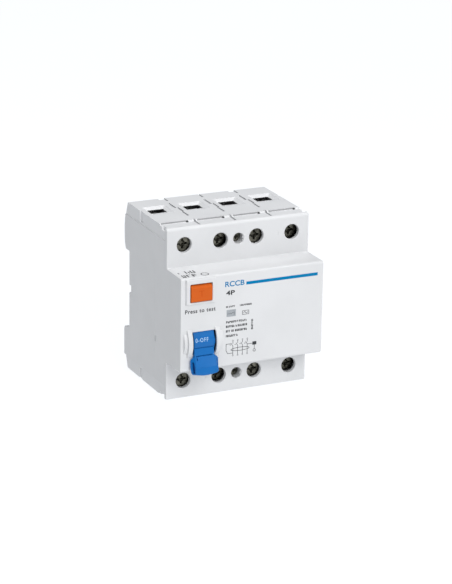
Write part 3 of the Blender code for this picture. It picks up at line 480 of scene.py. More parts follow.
# ---------------------------------------------------------------- base
def base_shell():
    """The rear tray, with the rail recess between its upper and lower foot."""
    upper_foot = [
        (4.9 * mm, SEAM_Z), (5.8 * mm, 30.0 * mm), (5.8 * mm, 24.5 * mm),
        (5.4 * mm, 20.5 * mm), (4.2 * mm, 17.9 * mm),
    ]
    outline = [
        (SEAM_Y, SEAM_Z),
        *smooth_curve(upper_foot, 5),
        (0, 17.9 * mm), (0, -19.3 * mm), (5.6 * mm, -20.8 * mm), (6.3 * mm, -21.8 * mm),
        (6.3 * mm, -SEAM_Z), (SEAM_Y, -SEAM_Z),
    ]
    body = bevelled(prism("base_shell", outline, (-HALF_WIDTH, HALF_WIDTH)), 0.35 * mm, 3, 50)
    inner = HALF_WIDTH - WALL
    cutters = [
        box("base_room", (-inner, inner), (SEAM_Y - 5 * mm, -3 * mm), (-36 * mm, 36 * mm)),
        box("foot_room", (-inner, inner), (-5 * mm, 3.6 * mm), (20.4 * mm, 36 * mm)),
    ]
    for side in (-1, 1):
        notch_x = (side * 30 * mm, side * 36 * mm)
        cutters.append(box(f"rear_notch_{side}", notch_x, (-2.4 * mm, 1 * mm), (-2.4 * mm, 1.6 * mm)))
        seat_x = (side * (HALF_WIDTH - 0.5 * mm), side * (HALF_WIDTH + 1 * mm))
        cutters.append(box(f"base_latch_{side}", seat_x, (SEAM_Y - 1 * mm, SEAM_Y + 0.8 * mm), SIDE_LATCH_Z))
    cut(body, *cutters)
    parts = []
    y, z = CARRIER
    for side in (-1, 1):
        boss_x = (side * 32.1 * mm, side * 34.2 * mm)
        boss = box(f"boss_{side}", boss_x, (y - 3 * mm, y + 3 * mm), (z - 3 * mm, z + 3 * mm))
        bore_x = (side * 31 * mm, side * 34.0 * mm)
        parts.append(cut(boss, rod(f"boss_bore_{side}", "X", 1.9 * mm, CARRIER, bore_x)))
        tongue_x = (side * (HALF_WIDTH - 1.7 * mm), side * (HALF_WIDTH - 0.1 * mm))
        tongue_y = (SEAM_Y - 0.75 * mm, SEAM_Y + 1 * mm)
        parts.append(box(f"seam_tongue_{side}", tongue_x, tongue_y, (-34.6 * mm, 34.6 * mm)))
    hook = [
        (1.5 * mm, 18.4 * mm), (1.5 * mm, 16.4 * mm), (2.2 * mm, 15.9 * mm), (3.4 * mm, 16.4 * mm),
        (4.2 * mm, 18.4 * mm),
    ]
    for n, side in enumerate((-1, 1)):
        x = side * CLIP_X
        parts.append(bevelled(prism(f"hook_{n}", hook, (x - 6 * mm, x + 6 * mm)), 0.15 * mm, 2))
    join(body, *parts)
    for side in (-1, 1):
        x = side * CLIP_X
        channel_x = (x - 6.9 * mm, x + 6.9 * mm)
        cut(body, box(f"channel_{side}", channel_x, (1.4 * mm, 5.3 * mm), (-36 * mm, -18 * mm)))
        peg_x = (x - 1.5 * mm, x + 1.5 * mm)
        join(body, box(f"peg_{side}", peg_x, (0.8 * mm, 5.9 * mm), (-33.5 * mm, -32.0 * mm)))
    return finished(body, "housing", HOUSING, ["base_housing"])


def smooth_curve(points, steps):
    """A Catmull-Rom curve through the points."""
    padded = [points[0], *points, points[-1]]
    out = [points[0]]
    for a, b, c, d in zip(padded, padded[1:], padded[2:], padded[3:]):
        for n in range(1, steps + 1):
            t = n / steps
            point = []
            for p, q, r, s in zip(a, b, c, d):
                square = (2 * p - 5 * q + 4 * r - s) * t * t
                point.append(0.5 * (2 * q + (r - p) * t + square + (3 * q - p - 3 * r + s) * t**3))
            out.append(tuple(point))
    return out


# ---------------------------------------------------------------- terminal caps
def barrier_slots(name, x, side):
    """The broken line of narrow slots between two terminals."""
    top = (HALF_HEIGHT - 1.9 * mm) * side
    over = (HALF_HEIGHT + 1 * mm) * side
    half = 0.5 * mm
    steps = (
        (0.7 * mm, (-2.5 * mm, 7 * mm)), (-0.4 * mm, (-14.2 * mm, -5.7 * mm)),
        (0.7 * mm, (-20.4 * mm, -13.4 * mm)), (0.1 * mm, (-27.8 * mm, -20.4 * mm)),
        (0.0, (-43.0 * mm, -33.0 * mm)),
    )
    slots = []
    for n, (shift, y) in enumerate(steps):
        slots.append(box(f"{name}_{n}", (x + shift - half, x + shift + half), y, (top, over)))
    return slots


def funnel(name, x, side):
    """A shallow funnel whose slopes lead the wire into a straight rectangular hole."""
    rows = (
        (5.95 * mm, -20.4 * mm, -7.7 * mm, HALF_HEIGHT + 0.05 * mm),
        (5.7 * mm, -20.1 * mm, -8.0 * mm, HALF_HEIGHT - 0.15 * mm),
        (4.0 * mm, -15.4 * mm, -9.9 * mm, HALF_HEIGHT - 1.2 * mm),
        (4.1 * mm, -15.5 * mm, -9.7 * mm, HALF_HEIGHT - 1.4 * mm),
        (4.8 * mm, -16.6 * mm, -7.0 * mm, HALF_HEIGHT - 2.6 * mm),
    )
    half, near, far, _ = rows[0]
    top = (half + 0.3 * mm, near - 0.3 * mm, far + 0.3 * mm, HALF_HEIGHT + 0.5 * mm)
    return loft(name, [rounded_ring(x, half, near, far, z * side) for half, near, far, z in (top, *rows)])


def rounded_ring(x, half, near, far, z):
    """A rectangle with rounded corners in a plane of constant z."""
    corner = 0.5 * mm
    points = []
    for cx, cy, start in (
        (x + half, far, 0), (x - half, far, 90), (x - half, near, 180), (x + half, near, 270),
    ):
        px = cx - math.copysign(corner, cx - x)
        py = cy - math.copysign(corner, cy - (near + far) / 2)
        for n in range(5):
            angle = math.radians(start + n * 22.5)
            points.append((px + corner * math.cos(angle), py + corner * math.sin(angle), z))
    return points


def side_groove(name, profile, sign, z):
    """A groove along Z in a side wall; the profile holds (y, depth outward from the cap's side)."""
    side_x = HALF_WIDTH - 0.3 * mm
    outline = [(profile[0][0], 1 * mm), *profile, (profile[-1][0], 1 * mm)]
    return loft(name, [[(sign * (side_x + out), y, at) for y, out in outline] for at in z])


def terminal_cap(word, side):
    """A terminal cap: four wire funnels, flap outlines with their latches, and slots between terminals."""
    name = "cap_" + word
    seam = 35.3 * mm
    profile = [
        (-41.7 * mm, seam), (4.7 * mm, seam), (2.7 * mm, HALF_HEIGHT), (-34.6 * mm, HALF_HEIGHT),
        (-35.2 * mm, 40.4 * mm), (-41.7 * mm, 40.4 * mm),
    ]
    outline = [(y, z * side) for y, z in profile]
    half = HALF_WIDTH - 0.3 * mm
    body = bevelled(prism(name, outline, (-half, half)), 0.3 * mm, 3, 35)
    inner = HALF_WIDTH - WALL

    def piece(label, x, y, z):
        return box(label, x, y, both_ways(z, side))

    cutters = [piece(name + "_room", (-inner, inner), (-43 * mm, 3 * mm), (34 * mm, 38.6 * mm))]
    for n, x in enumerate(POLES):
        flap_x = (x - 7.6 * mm, x + 4.6 * mm)
        latch_x = (x + 4.7 * mm, x + 5.8 * mm)
        nick_x = (x - 2.0 * mm, x + 1.8 * mm)
        cutters.append(funnel(f"{name}_funnel_{n}", x, side))
        cutters.append(piece(f"{name}_groove_{n}", flap_x, (-35.0 * mm, -33.8 * mm), (39.6 * mm, 42 * mm)))
        cutters.append(piece(f"{name}_latch_{n}", latch_x, (-35.6 * mm, -33.9 * mm), (39.3 * mm, 42 * mm)))
        cutters.append(piece(f"{name}_nick_{n}", nick_x, (-41.2 * mm, -40.6 * mm), (39.8 * mm, 42 * mm)))
        # Painted shade: grey strips just under the surface fill the flap grooves, so that they read as dark
        # shadowed gaps.
        seam_shade_x = (x - 7.7 * mm, x + 4.6 * mm)
        seam_shade = piece(f"flap_seal_{word}_{n}", seam_shade_x, (-35.1 * mm, -33.7 * mm), (39.7 * mm, 40.75 * mm))
        finished(seam_shade, "housing", PAINTED_SEAM_SHADE)
        # Painted shade: near-black blocks fill the latch slots beside the flaps, so that they read as deep
        # shadowed slots.
        shade_x = (x + 4.6 * mm, x + 5.7 * mm)
        shade = piece(f"latch_shade_{word}_{n}", shade_x, (-35.5 * mm, -34.0 * mm), (39.2 * mm, 40.7 * mm))
        finished(shade, "housing", INNER_BLACK_AND_SHADE)
    for n, x in enumerate((-CLIP_X, 0, CLIP_X)):
        cutters += barrier_slots(f"{name}_slot_{n}", x, side)
    for n, sign in enumerate((-1, 1)):
        x = sign * CLIP_X
        rear_x = (x - 2.2 * mm, x + 0.5 * mm)
        cutters.append(piece(f"{name}_rear_{n}", rear_x, (0.2 * mm, 6 * mm), (38.9 * mm, 42 * mm)))
        ramp = [(-17.0 * mm, 0.0), (-12.3 * mm, -0.7 * mm), (-12.0 * mm, 0.0)]
        cutters.append(side_groove(f"{name}_relief_{n}", ramp, sign, both_ways((34 * mm, 42 * mm), side)))
        corner_x = (sign * 34.0 * mm, sign * 37 * mm)
        cutters.append(piece(f"{name}_corner_{n}", corner_x, (-43 * mm, -37.4 * mm), (38.9 * mm, 42 * mm)))
        if side < 0:
            way_x = (x - 6.9 * mm, x + 6.9 * mm)
            cutters.append(box(f"{name}_way_{n}", way_x, (1.4 * mm, 7 * mm), (-42 * mm, -34 * mm)))
    cut(body, *cutters)
    for sign in (-1, 1):
        tongue_x = (sign * (HALF_WIDTH - 2.2 * mm), sign * (half - 0.01 * mm))
        join(body, piece(f"{name}_tongue_{sign}", tongue_x, (-41.4 * mm, 4.2 * mm), (34.6 * mm, 35.8 * mm)))
    return finished(body, "housing", CAP, ["terminal_cap_" + word])


# ---------------------------------------------------------------- toggle, button, screws, clips
def paddle():
    """The finger paddle, lofted through rounded sections from its root to its bowed tip.

    Each row, in millimetres: front half width, front (y, z), back half width, back (y, z), bow of the edge.
    """
    rows = [
        (4.9, (-61.0, -13.0), 4.9, (-59.0, -13.4), 0.0),
        (4.9, (-61.75, -14.3), 5.2, (-60.4, -15.1), 0.0),
        (5.2, (-62.9, -16.3), 6.8, (-61.0, -16.7), 0.1),
        (5.5, (-64.3, -19.1), 6.95, (-61.4, -19.8), 0.25),
        (5.55, (-64.45, -19.35), 6.95, (-61.4, -20.0), 0.27),
        (5.6, (-64.95, -21.7), 6.8, (-62.2, -22.2), 0.5),
        (5.45, (-64.9, -22.3), 6.4, (-62.9, -22.7), 0.65),
        (4.9, (-64.5, -22.6), 5.6, (-63.4, -22.9), 0.7),
    ]
    across = [t / 10 for t in range(-10, 11)]
    rings = []
    plain_rows = [(a, *b, c, *d, e) for a, b, c, d, e in rows]
    for front_half, fy, fz, back_half, by, bz, bow in smooth_curve(plain_rows, 4):
        corner = min(0.55, 0.35 * math.hypot(fy - by, fz - bz)) * 0.4
        straight = front_half - corner
        front = [(u * straight, fy, fz - bow * (1 - u * u)) for u in across]
        back = [(u * (back_half - corner), by, bz - bow * (1 - u * u)) for u in reversed(across)]
        flank = []
        for k in (0.3, 0.6):
            out = straight + corner * math.sin(k * math.pi / 2)
            flank.append((out, fy + (by - fy) * k * 0.25, fz + (bz - fz) * k * 0.25))
        flank.append((back_half, by - (by - fy) * 0.25, bz - (bz - fz) * 0.25))
        other_flank = [(-x, y, z) for x, y, z in reversed(flank)]
        points = front + flank + back + other_flank
        rings.append([(TOGGLE_X + x * mm, y * mm, z * mm) for x, y, z in points])
    return loft("paddle", rings)


def toggle():
    """The toggle in one piece: the drum, wider on its right than in the CAD, the neck and the paddle."""
    drum_x = (TOGGLE_X - DRUM_HALF, TOGGLE_X + DRUM_HALF)
    drum_right = drum_x[1] + 0.4 * mm
    body = bevelled(rod("toggle_body", "X", DRUM_R, TOGGLE, (drum_x[0], drum_right), 128), 0.3 * mm, 3)
    neck = [
        (-58.5 * mm, -10.2 * mm), (-61.1 * mm, -10.9 * mm), (-61.8 * mm, -14.3 * mm),
        (-61.6 * mm, -15.4 * mm), (-60.5 * mm, -15.2 * mm), (-60.2 * mm, -13.9 * mm),
        (-58.5 * mm, -12.9 * mm),
    ]
    join(body, bevelled(prism("neck", neck, drum_x), 0.2 * mm, 2), paddle())
    pocket = [
        (-62.5 * mm, -16.9 * mm), (-63.95 * mm, -19.5 * mm), (-64.4 * mm, -21.9 * mm),
        (-62.7 * mm, -22.2 * mm), (-61.9 * mm, -20.2 * mm), (-61.5 * mm, -17.3 * mm),
    ]
    slot_x = (TOGGLE_X - 1.5 * mm, TOGGLE_X + 1.0 * mm)
    neck_x = (drum_x[0] - 1 * mm, drum_x[1] + 1 * mm)
    groove_x = (TOGGLE_X - 4.2 * mm, TOGGLE_X + 3.9 * mm)
    mark_x = (TOGGLE_X - 4.2 * mm, TOGGLE_X - 3.75 * mm)
    cut(
        body,
        rod("pin_hole", "X", PIN_HOLE_R, TOGGLE, (-40 * mm, -10 * mm)),
        rod("spring_room", "X", 3.4 * mm, TOGGLE, (drum_x[1] - 3.9 * mm, drum_x[1] + 1 * mm)),
        box("link_slot", slot_x, (-56.0 * mm, -40 * mm), (-7.0 * mm, 4 * mm)),
        rod("crank_hole", "X", 1.1 * mm, (-54.4 * mm, -4.4 * mm), (TOGGLE_X - 4.2 * mm, TOGGLE_X)),
        box("neck_groove", neck_x, (-62.5 * mm, -60.7 * mm), (-11.25 * mm, -10.85 * mm)),
        prism("side_pocket_0", pocket, (TOGGLE_X - 3.7 * mm, TOGGLE_X - 9 * mm)),
        prism("side_pocket_1", pocket, (TOGGLE_X + 3.7 * mm, TOGGLE_X + 9 * mm)),
        box("paddle_groove", groove_x, (-63 * mm, -61.3 * mm), (-14.85 * mm, -14.4 * mm)),
        box("paddle_mark", mark_x, (-63.5 * mm, -61.9 * mm), (-16.4 * mm, -14.4 * mm)),
    )
    # Painted shade: dark navy blocks fill the paddle's side pockets, so that the pockets read as deep and
    # shadowed.
    recess = [
        (-62.5 * mm, -17.3 * mm), (-63.8 * mm, -19.6 * mm), (-64.2 * mm, -21.7 * mm),
        (-62.8 * mm, -22.0 * mm), (-62.05 * mm, -20.2 * mm), (-61.7 * mm, -17.6 * mm),
    ]
    for n, sign in enumerate((-1, 1)):
        pocket_shade_x = (TOGGLE_X + sign * 3.5 * mm, TOGGLE_X + sign * 5.7 * mm)
        finished(prism(f"paddle_pocket_painted_shade_{n}", recess, pocket_shade_x), "toggle", SHADE_BLUE)
    key = [*arc(TOGGLE, DRUM_R - 0.2 * mm, -7, 12, 8), (TOGGLE[0] - 4 * mm, TOGGLE[1])]
    join(body, prism("drum_key", key, (drum_right - 0.5 * mm, drum_right + 0.25 * mm)))
    return finished(body, "toggle", BLUE, ["toggle_lever"], 40)


def button():
    """The test button: a sloping upper edge, the flange that keeps it in, and the stem for the leaf."""
    x = (BUTTON[0] - BUTTON_HALF[0], BUTTON[0] + BUTTON_HALF[0])
    z = (BUTTON[1] - BUTTON_HALF[1], BUTTON[1] + BUTTON_HALF[1])
    outline = [
        (BUTTON_FRONT, z[0] + 0.35 * mm), (BUTTON_FRONT, z[1] - 1.3 * mm), (BUTTON_FRONT + 1.2 * mm, z[1]),
        (FACE_Y + 3 * mm, z[1]), (FACE_Y + 3 * mm, z[0]), (BUTTON_FRONT + 0.35 * mm, z[0]),
    ]
    body = bevelled(prism("button_body", outline, x), 0.35 * mm, 3)
    flange_x = (x[0] - 1 * mm, x[1] + 1 * mm)
    flange_y = (FACE_Y + 2.2 * mm, FACE_Y + 3.4 * mm)
    flange_z = (z[0] - 1 * mm, z[1] + 1 * mm)
    join(
        body,
        bevelled(box("button_flange", flange_x, flange_y, flange_z), 0.2 * mm, 2),
        box("button_stem", (-27.5 * mm, -24.7 * mm), (-57 * mm, -52.5 * mm), (13.5 * mm, 16.5 * mm)),
    )
    return finished(body, "button", ORANGE, ["test_button"])


def screw(name, x, z, body, node, radius, thick, shank, cross):
    """A screw with a domed rim and a cross recess that narrows downwards, as long as the node it replaces."""
    front, tip = (corner.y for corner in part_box(node))
    head = bevelled(rod(name, "Y", radius, (x, z), (front, front + thick), 64), 0.35 * mm, 3)
    stem_y = (front + thick - 0.5 * mm, tip)
    stem = bevelled(rod(name + "_shank", "Y", shank, (x, z), stem_y, 32), 0.2 * mm, 2)
    join(head, stem)
    reach, half, deep = cross
    taper = 0.72
    tools = []
    for n, (hx, hz) in enumerate(((reach, half), (half, reach))):
        wedge = box(f"{name}_slot_{n}", (x - hx, x + hx), (front - 1 * mm, front + deep), (z - hz, z + hz))
        for vertex in wedge.data.vertices:
            if vertex.co.y > front:
                vertex.co.x = x + (vertex.co.x - x) * taper
                vertex.co.z = z + (vertex.co.z - z) * taper
        tools.append(wedge)
    dish_y = (front - 0.5 * mm, front + deep * 0.9)
    tools.append(rod(name + "_dish", "Y", radius * 0.5, (x, z), dish_y, 24, radius * 0.12))
    cut(head, *tools)
    return finished(head, body, ZINC, [node])


def clip(word, x):
    """A sliding rail clip with its hook, its spring window and the slot in its pull tab."""
    half = 6.5 * mm
    outline = [
        (1.9 * mm, -42.6 * mm), (4.9 * mm, -42.6 * mm), (4.9 * mm, -20.6 * mm), (3.8 * mm, -17.6 * mm),
        (2.6 * mm, -16.2 * mm), (1.7 * mm, -16.2 * mm), (1.7 * mm, -19.4 * mm), (1.9 * mm, -19.8 * mm),
    ]
    body = bevelled(prism("clip_" + word, outline, (x - half, x + half)), 0.18 * mm, 2, 35)
    cut(
        body,
        box("clip_window", (x - 2.2 * mm, x + 2.2 * mm), (0, 7 * mm), (-34.2 * mm, -24.3 * mm)),
        box("clip_tab_slot", (x - 3 * mm, x + 3 * mm), (0, 7 * mm), (-41.8 * mm, -40.7 * mm)),
    )
    return finished(body, "clip_" + word, CLIP, ["din_clip_" + word])


def clip_spring(word):
    """The coil that pushes a rail clip home."""
    node = "din_clip_spring_" + word
    low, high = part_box(node)
    middle = (low + high) / 2
    wire = 0.2 * mm
    radius = (high.x - low.x) / 2 - wire
    turns, steps, sides = 5, 24, 8
    rings = []
    for n in range(turns * steps + 1):
        turn = 2 * math.pi * n / steps
        rise = low.z + wire + (high.z - low.z - 2 * wire) * n / (turns * steps)
        ring = []
        for k in range(sides):
            around = 2 * math.pi * k / sides
            out = radius + wire * math.cos(around)
            z = rise + wire * math.sin(around)
            ring.append((middle.x + out * math.cos(turn), middle.y + out * math.sin(turn), z))
        rings.append(ring)
    spring = finished(loft("clip_spring_" + word, rings), "housing", SPRING, [node])
    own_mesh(spring)


# ---------------------------------------------------------------- print
class Print:
    """Thin strokes of ink that lie on one flat face and make one piece."""

    def __init__(self, name, material, body="housing", slot="housing"):
        self.name, self.material, self.body, self.slot = name, material, body, slot
        self.shape = bmesh.new()
        self.place = Matrix.Identity(4)

    def stroke(self, x, z, depth=INK_DEPTH):
        low = Vector((min(x), -depth, min(z)))
        size = Vector((max(x), 0.0, max(z))) - low
        made = bmesh.ops.create_cube(self.shape, size=1.0)["verts"]
        matrix = self.place @ Matrix.Translation(low + size / 2) @ Matrix.Diagonal((*size, 1))
        bmesh.ops.transform(self.shape, matrix=matrix, verts=made)

    def ring(self, centre, radius, width, steps=20, squash=1.0):
        for n in range(steps):
            a, b = (2 * math.pi * k / steps for k in (n, n + 1))
            self.line(
                (centre[0] + radius * math.cos(a), centre[1] + radius * squash * math.sin(a)),
                (centre[0] + radius * math.cos(b), centre[1] + radius * squash * math.sin(b)),
                width,
            )

    def line(self, start, end, width, depth=INK_DEPTH):
        run = Vector((end[0] - start[0], 0, end[1] - start[1]))
        angle = -math.atan2(run.z, run.x)
        middle = Vector(((start[0] + end[0]) / 2, -depth / 2, (start[1] + end[1]) / 2))
        made = bmesh.ops.create_cube(self.shape, size=1.0)["verts"]
        matrix = self.place @ Matrix.Translation(middle) @ Matrix.Rotation(angle, 4, "Y")
        matrix = matrix @ Matrix.Diagonal((run.length + width * 0.6, depth, width, 1))
        bmesh.ops.transform(self.shape, matrix=matrix, verts=made)

    def filler(self, start, height, length, seed, gaps=(0.4, 0.7), thin=0.28):
        """A row of letter-like strokes that spell nothing."""
        dice = random.Random(seed)
        x, z = start
        end = x + length
        t = height * thin
        while x < end - height * 0.5:
            width = height * dice.choice((0.35, 0.5, 0.55, 0.6))
            kind = dice.randrange(5)
            self.stroke((x, x + t), (z, z + height))
            if kind in (1, 2, 4):
                self.stroke((x, x + width), (z + height - t, z + height))
            if kind in (2, 3):
                self.stroke((x, x + width), (z, z + t))
            if kind in (0, 2, 3):
                self.stroke((x + width - t, x + width), (z, z + height * dice.choice((0.6, 1.0))))
            if kind == 4:
                self.stroke((x, x + width), (z + height * 0.45, z + height * 0.45 + t))
            x += width + height * (dice.uniform(*gaps) if dice.random() < 0.12 else 0.2)

    def letters(self, words, size, at, bold=0.0, width=None, depth=INK_DEPTH, gap=1.0):
        """Generic words from at to the right; width stretches them to fit and gap spaces their letters."""
        curve = bpy.data.curves.new("letters", "FONT")
        curve.body = words
        curve.size = size
        curve.extrude = depth / 2
        curve.offset = bold
        curve.space_character = gap
        guide = bpy.data.objects.new("letters", curve)
        bpy.context.scene.collection.objects.link(guide)
        bpy.context.view_layer.update()
        graph = bpy.context.evaluated_depsgraph_get()
        mesh = bpy.data.meshes.new_from_object(guide.evaluated_get(graph))
        bpy.data.objects.remove(guide)
        part = bmesh.new()
        part.from_mesh(mesh)
        bmesh.ops.remove_doubles(part, verts=part.verts, dist=0.0005 * mm)
        low = min(v.co.x for v in part.verts)
        high = max(v.co.x for v in part.verts)
        grow = width / (high - low) if width else 1.0
        upright = Matrix.Rotation(math.pi / 2, 4, "X")
        matrix = self.place @ Matrix.Translation((at[0], -depth / 2, at[1])) @ upright
        matrix = matrix @ Matrix.Diagonal((grow, 1, 1, 1)) @ Matrix.Translation((-low, 0, 0))
        bmesh.ops.transform(part, matrix=matrix, verts=part.verts)
        part.to_mesh(mesh)
        part.free()
        self.shape.from_mesh(mesh)
        bpy.data.meshes.remove(mesh)

    def done(self):
        obj = new_object(self.name, self.shape)
        obj.data.materials.append(self.material)
        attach(obj, self.body)
        return obj


def face_print():
    """The nose's print: a blue bar, generic words, rows that spell nothing, two icons and the wiring."""
    at_face = Matrix.Translation((0, FACE_Y, 0))
    blue = Print("print_blue", INK_BLUE)
    blue.place = at_face
    blue.stroke((-3.4 * mm, 32.7 * mm), (15.75 * mm, 17.2 * mm))
    blue.letters("RCCB", 3.45 * mm, (-13.9 * mm, 15.9 * mm), 0.07 * mm, 9.6 * mm)
    blue.done()
    dark = Print("print_dark", INK_DARK)
    dark.place = at_face
    dark.letters("4P", 2.9 * mm, (-13.4 * mm, 11.9 * mm), 0.08 * mm, 4.4 * mm)
    dark.letters("Press to test", 2.6 * mm, (-33.5 * mm, 5.5 * mm), 0.055 * mm, 15.0 * mm, gap=1.12)
    dark.filler((-13.3 * mm, 5.9 * mm), 0.8 * mm, 4.6 * mm, 5)
    dark.filler((-6.4 * mm, 5.9 * mm), 0.8 * mm, 6.2 * mm, 6)
    for n, (z, length) in enumerate(((-1.6, 10.6), (-3.7, 11.2), (-5.9, 11.0), (-8.2, 6.0))):
        dark.filler((-13.2 * mm, z * mm), 1.05 * mm, length * mm, 11 + n)
    quarter_turn = Matrix.Rotation(-math.pi / 2, 4, "Y")
    dark.place = at_face @ Matrix.Translation((0.3 * mm, 0, -6.0 * mm)) @ quarter_turn
    dark.filler((0, 0), 0.9 * mm, 5.2 * mm, 17)
    dark.place = at_face
    wiring(dark)
    dark.ring((-3.6 * mm, 2.6 * mm), 0.1 * mm, 0.1 * mm, 6)
    for z in (1.6, 3.4):
        dark.stroke((-5.2 * mm, -1.8 * mm), (z * mm, (z + 0.2) * mm))
    for x in (-5.2, -2.0):
        dark.stroke((x * mm, (x + 0.2) * mm), (1.6 * mm, 3.6 * mm))
    dark.line((-4.7 * mm, 2.4 * mm), (-3.9 * mm, 3.1 * mm), 0.2 * mm)
    dark.line((-3.9 * mm, 3.1 * mm), (-3.1 * mm, 2.1 * mm), 0.2 * mm)
    dark.line((-3.1 * mm, 2.1 * mm), (-2.3 * mm, 2.8 * mm), 0.2 * mm)
    dark.done()
    pale = Print("print_pale", INK_PALE)
    pale.place = at_face
    pale.stroke((-13.0 * mm, -8.4 * mm), (1.5 * mm, 4.8 * mm))
    dark_icon = Print("print_icon", INK_DARK)
    dark_icon.place = at_face @ Matrix.Translation((0, -INK_DEPTH, 0))
    dark_icon.line((-12.6 * mm, 2.9 * mm), (-10.6 * mm, 2.9 * mm), 0.14 * mm, 0.02 * mm)
    dark_icon.line((-10.6 * mm, 2.9 * mm), (-9.2 * mm, 3.7 * mm), 0.14 * mm, 0.02 * mm)
    dark_icon.line((-9.2 * mm, 3.7 * mm), (-9.2 * mm, 2.2 * mm), 0.14 * mm, 0.02 * mm)
    dark_icon.done()
    pale.done()


def wiring(dark):
    """A plain wiring diagram: four lines, their contacts, a ring round them all and the test branch."""
    thin = 0.22 * mm
    top, foot = -10.2 * mm, -17.4 * mm
    for x in (-9.6 * mm, -7.2 * mm, -4.8 * mm, -2.4 * mm):
        dark.ring((x, top), 0.3 * mm, 0.12 * mm, 10)
        dark.line((x, top - 0.4 * mm), (x, top - 1.4 * mm), thin)
        dark.line((x - 0.8 * mm, top - 1.3 * mm), (x, top - 2.6 * mm), thin)
        dark.line((x - 0.9 * mm, top - 2.0 * mm), (x - 1.5 * mm, top - 2.0 * mm), thin)
        dark.line((x, top - 2.6 * mm), (x, foot + 0.4 * mm), thin)
        dark.ring((x, foot), 0.3 * mm, 0.12 * mm, 10)
    dark.ring((-6.0 * mm, -14.6 * mm), 4.6 * mm, thin, 28, 0.17)
    dark.line((-13.0 * mm, -11.6 * mm), (-13.0 * mm, -14.6 * mm), thin)
    dark.line((-13.0 * mm, -11.6 * mm), (-10.4 * mm, -11.6 * mm), thin)
    dark.line((-13.0 * mm, -14.6 * mm), (-12.2 * mm, -16.2 * mm), thin)
    dark.line((-12.2 * mm, -16.2 * mm), (-9.6 * mm, -16.2 * mm), thin)
    dark.stroke((0.2 * mm, 2.2 * mm), (-13.6 * mm, -12.0 * mm))
    dark.line((-2.4 * mm, -12.8 * mm), (0.2 * mm, -12.8 * mm), thin)
    dark.line((1.2 * mm, -13.6 * mm), (1.2 * mm, -15.6 * mm), thin)
    dark.ring((1.2 * mm, -16.2 * mm), 0.6 * mm, thin, 14)


def small_print():
    """The words on the toggle's drum and the letter on the test button."""
    at_toggle = Matrix.Translation((0, TOGGLE[0], TOGGLE[1]))
    white = Print("print_toggle", INK_WHITE, "toggle", "toggle_blue")
    start = -4.2 * mm
    for words, angle, width in (("0-OFF", 11.0, 6.3), ("I-ON", -43.0, 4.4)):
        turn = Matrix.Rotation(math.radians(-angle), 4, "X")
        white.place = at_toggle @ turn @ Matrix.Translation((TOGGLE_X, -DRUM_R - 0.01 * mm, -1.1 * mm))
        white.letters(words, 2.7 * mm, (start, 0), 0.0, width * mm, 0.04 * mm, 1.25)
    white.done()
    mark = Print("print_button", SHADE_ORANGE, "button", "button_orange")
    mark.place = Matrix.Translation((BUTTON[0], BUTTON_FRONT, BUTTON[1]))
    mark.letters("T", 4.2 * mm, (-1.4 * mm, -1.5 * mm), 0.02 * mm, 2.6 * mm, 0.02 * mm)
    mark.done()


def shoulder_print():
    """Small generic tick marks on the step above the test button."""
    dark = Print("print_shoulder", INK_DARK)
    dark.place = Matrix.Translation((0, 0, WINDOW_HALF_HEIGHT)) @ Matrix.Rotation(-math.pi / 2, 4, "X")
    dark.filler((-33.6 * mm, -58.4 * mm), 3.3 * mm, 9.2 * mm, 21, thin=0.17)
    dark.ring((-22.6 * mm, -56.8 * mm), 1.7 * mm, 0.4 * mm, 20)
    dark.filler((-33.6 * mm, -52.9 * mm), 1.6 * mm, 2.4 * mm, 22, thin=0.2)
    dark.filler((-30.0 * mm, -53.4 * mm), 3.4 * mm, 6.2 * mm, 23, thin=0.17)
    dark.done()


def terminal_numbers():
    """Raised numbers beside the screws, in the housing's own plastic."""
    raised = Print("raised_numbers", HOUSING)
    for side, words in ((1, ("1", "3", "5", "7")), (-1, ("2", "4", "6", "8"))):
        for x, word in zip(POLES, words):
            raised.place = Matrix.Translation((x - 7.3 * mm, SHOULDER_Y, TERMINAL_Z * side - 1.0 * mm))
            raised.letters(word, 2.6 * mm, (0, 0), 0.0, None, 0.08 * mm)
    raised.done()


# ---------------------------------------------------------------- building
front_cover()
base_shell()
terminal_cap("top", 1)
terminal_cap("bottom", -1)
toggle()
button()
for word, side in (("top", 1), ("bottom", -1)):
    z = TERMINAL_Z * side
    screw("housing_screw_" + word, 0, z, "housing", "cover_screw_" + word, **HOUSING_SCREW)
    for n, x in enumerate(POLES):
        key = f"{word}_{n + 1}"
        screw("clamp_screw_" + key, x, z, "screw_" + key, "terminal_screw_" + key, **CLAMP_SCREW)
for word, x in (("left", -CLIP_X), ("right", CLIP_X)):
    clip(word, x)
    clip_spring(word)
face_print()
small_print()
shoulder_print()
terminal_numbers()

MATERIAL_OF_SLOT = {
    "housing": HOUSING, "cap": CAP, "inner_plastic": INNER_BLACK_AND_SHADE, "toggle_blue": BLUE, "button_orange": ORANGE,
    "clip_plastic": CLIP, "steel": STEEL, "spring_steel": SPRING, "copper": COPPER, "board": BOARD,
    "resistor": LACQUER,
}
for entry in frame["record"]["subparts"]:
    node = frame["nodes"][entry["node"]]
    material = MATERIAL_OF_SLOT[entry["material_slot"]]
    for slot in node.material_slots:
        slot.material = material


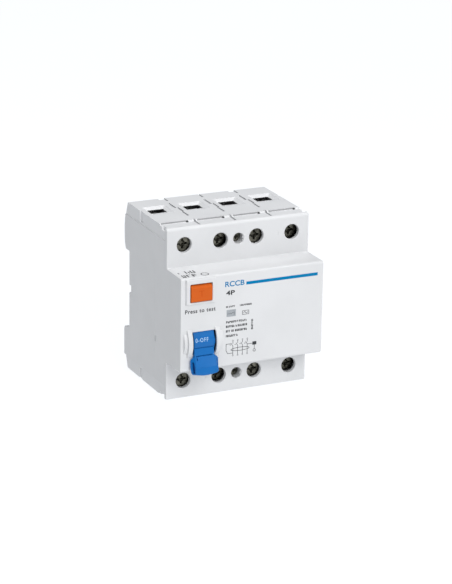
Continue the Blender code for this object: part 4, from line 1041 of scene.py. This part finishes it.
# ---------------------------------------------------------------- floor, light and camera
def floor():
    """A plain pale floor that glows a little, so that it stays near white."""
    shape = bmesh.new()
    bmesh.ops.create_grid(shape, x_segments=1, y_segments=1, size=6.0)
    ground = new_object("floor", shape)
    ground.location.z = cad_box[0].z - 0.2 * mm
    material, nodes, links, shader = shader_of("floor_paint")
    clouds = noise(nodes, links, 3.0, 2.0)
    tinted(nodes, links, shader, clouds, ((0.1, 0.1, 0.1), (0.11, 0.11, 0.11)))
    shader.inputs["Roughness"].default_value = 0.9
    shader.inputs["Specular IOR Level"].default_value = 0.1
    shader.inputs["Emission Color"].default_value = (0.955, 0.975, 1.0, 1)
    shader.inputs["Emission Strength"].default_value = 0.96
    ground.data.materials.append(material)


def area_light(name, place, target, size, power):
    data = bpy.data.lights.new(name, "AREA")
    data.shape = "DISK"
    data.size = size
    data.energy = power
    lamp = bpy.data.objects.new(name, data)
    bpy.context.scene.collection.objects.link(lamp)
    lamp.location = place
    lamp.rotation_mode = "QUATERNION"
    lamp.rotation_quaternion = (Vector(target) - Vector(place)).to_track_quat("-Z", "Y")


def light():
    """A faint sky and two large soft lamps, in front of the object and above it."""
    world = bpy.data.worlds.new("studio")
    bpy.context.scene.world = world
    world.use_nodes = True
    world.node_tree.nodes["Background"].inputs["Color"].default_value = (0.85, 0.92, 1.0, 1)
    world.node_tree.nodes["Background"].inputs["Strength"].default_value = 0.18
    area_light("key", (-0.03, -1.5, 0.85), (0, -0.03, 0), 0.9, 16.5)
    area_light("top", (-0.02, -0.2, 1.4), (0, -0.03, 0), 1.2, 14.5)


def camera():
    """The camera that was fitted to the photograph; it aims at target from distance."""
    target = Vector((0.62, -30.0, 2.43)) * mm
    azimuth, elevation, roll = (math.radians(v) for v in (-25.13, 18.49, 0.87))
    distance = 1071.8 * mm
    focal_px, long_side_px = 2306.1, 584
    level = math.cos(elevation)
    back = Vector((math.sin(azimuth) * level, -math.cos(azimuth) * level, math.sin(elevation)))
    right = Vector((math.cos(azimuth), math.sin(azimuth), 0))
    up = back.cross(right)
    across = right * math.cos(roll) + up * math.sin(roll)
    upward = -right * math.sin(roll) + up * math.cos(roll)
    data = bpy.data.cameras.new("camera")
    data.sensor_width = 36.0
    data.lens = focal_px / long_side_px * data.sensor_width
    data.clip_start = 0.05
    eye = bpy.data.objects.new("camera", data)
    bpy.context.scene.collection.objects.link(eye)
    matrix = Matrix((across, upward, back)).transposed().to_4x4()
    matrix.translation = target + back * distance
    eye.matrix_world = matrix
    bpy.context.scene.camera = eye


floor()
light()
camera()
bpy.context.scene.view_settings.view_transform = "Standard"
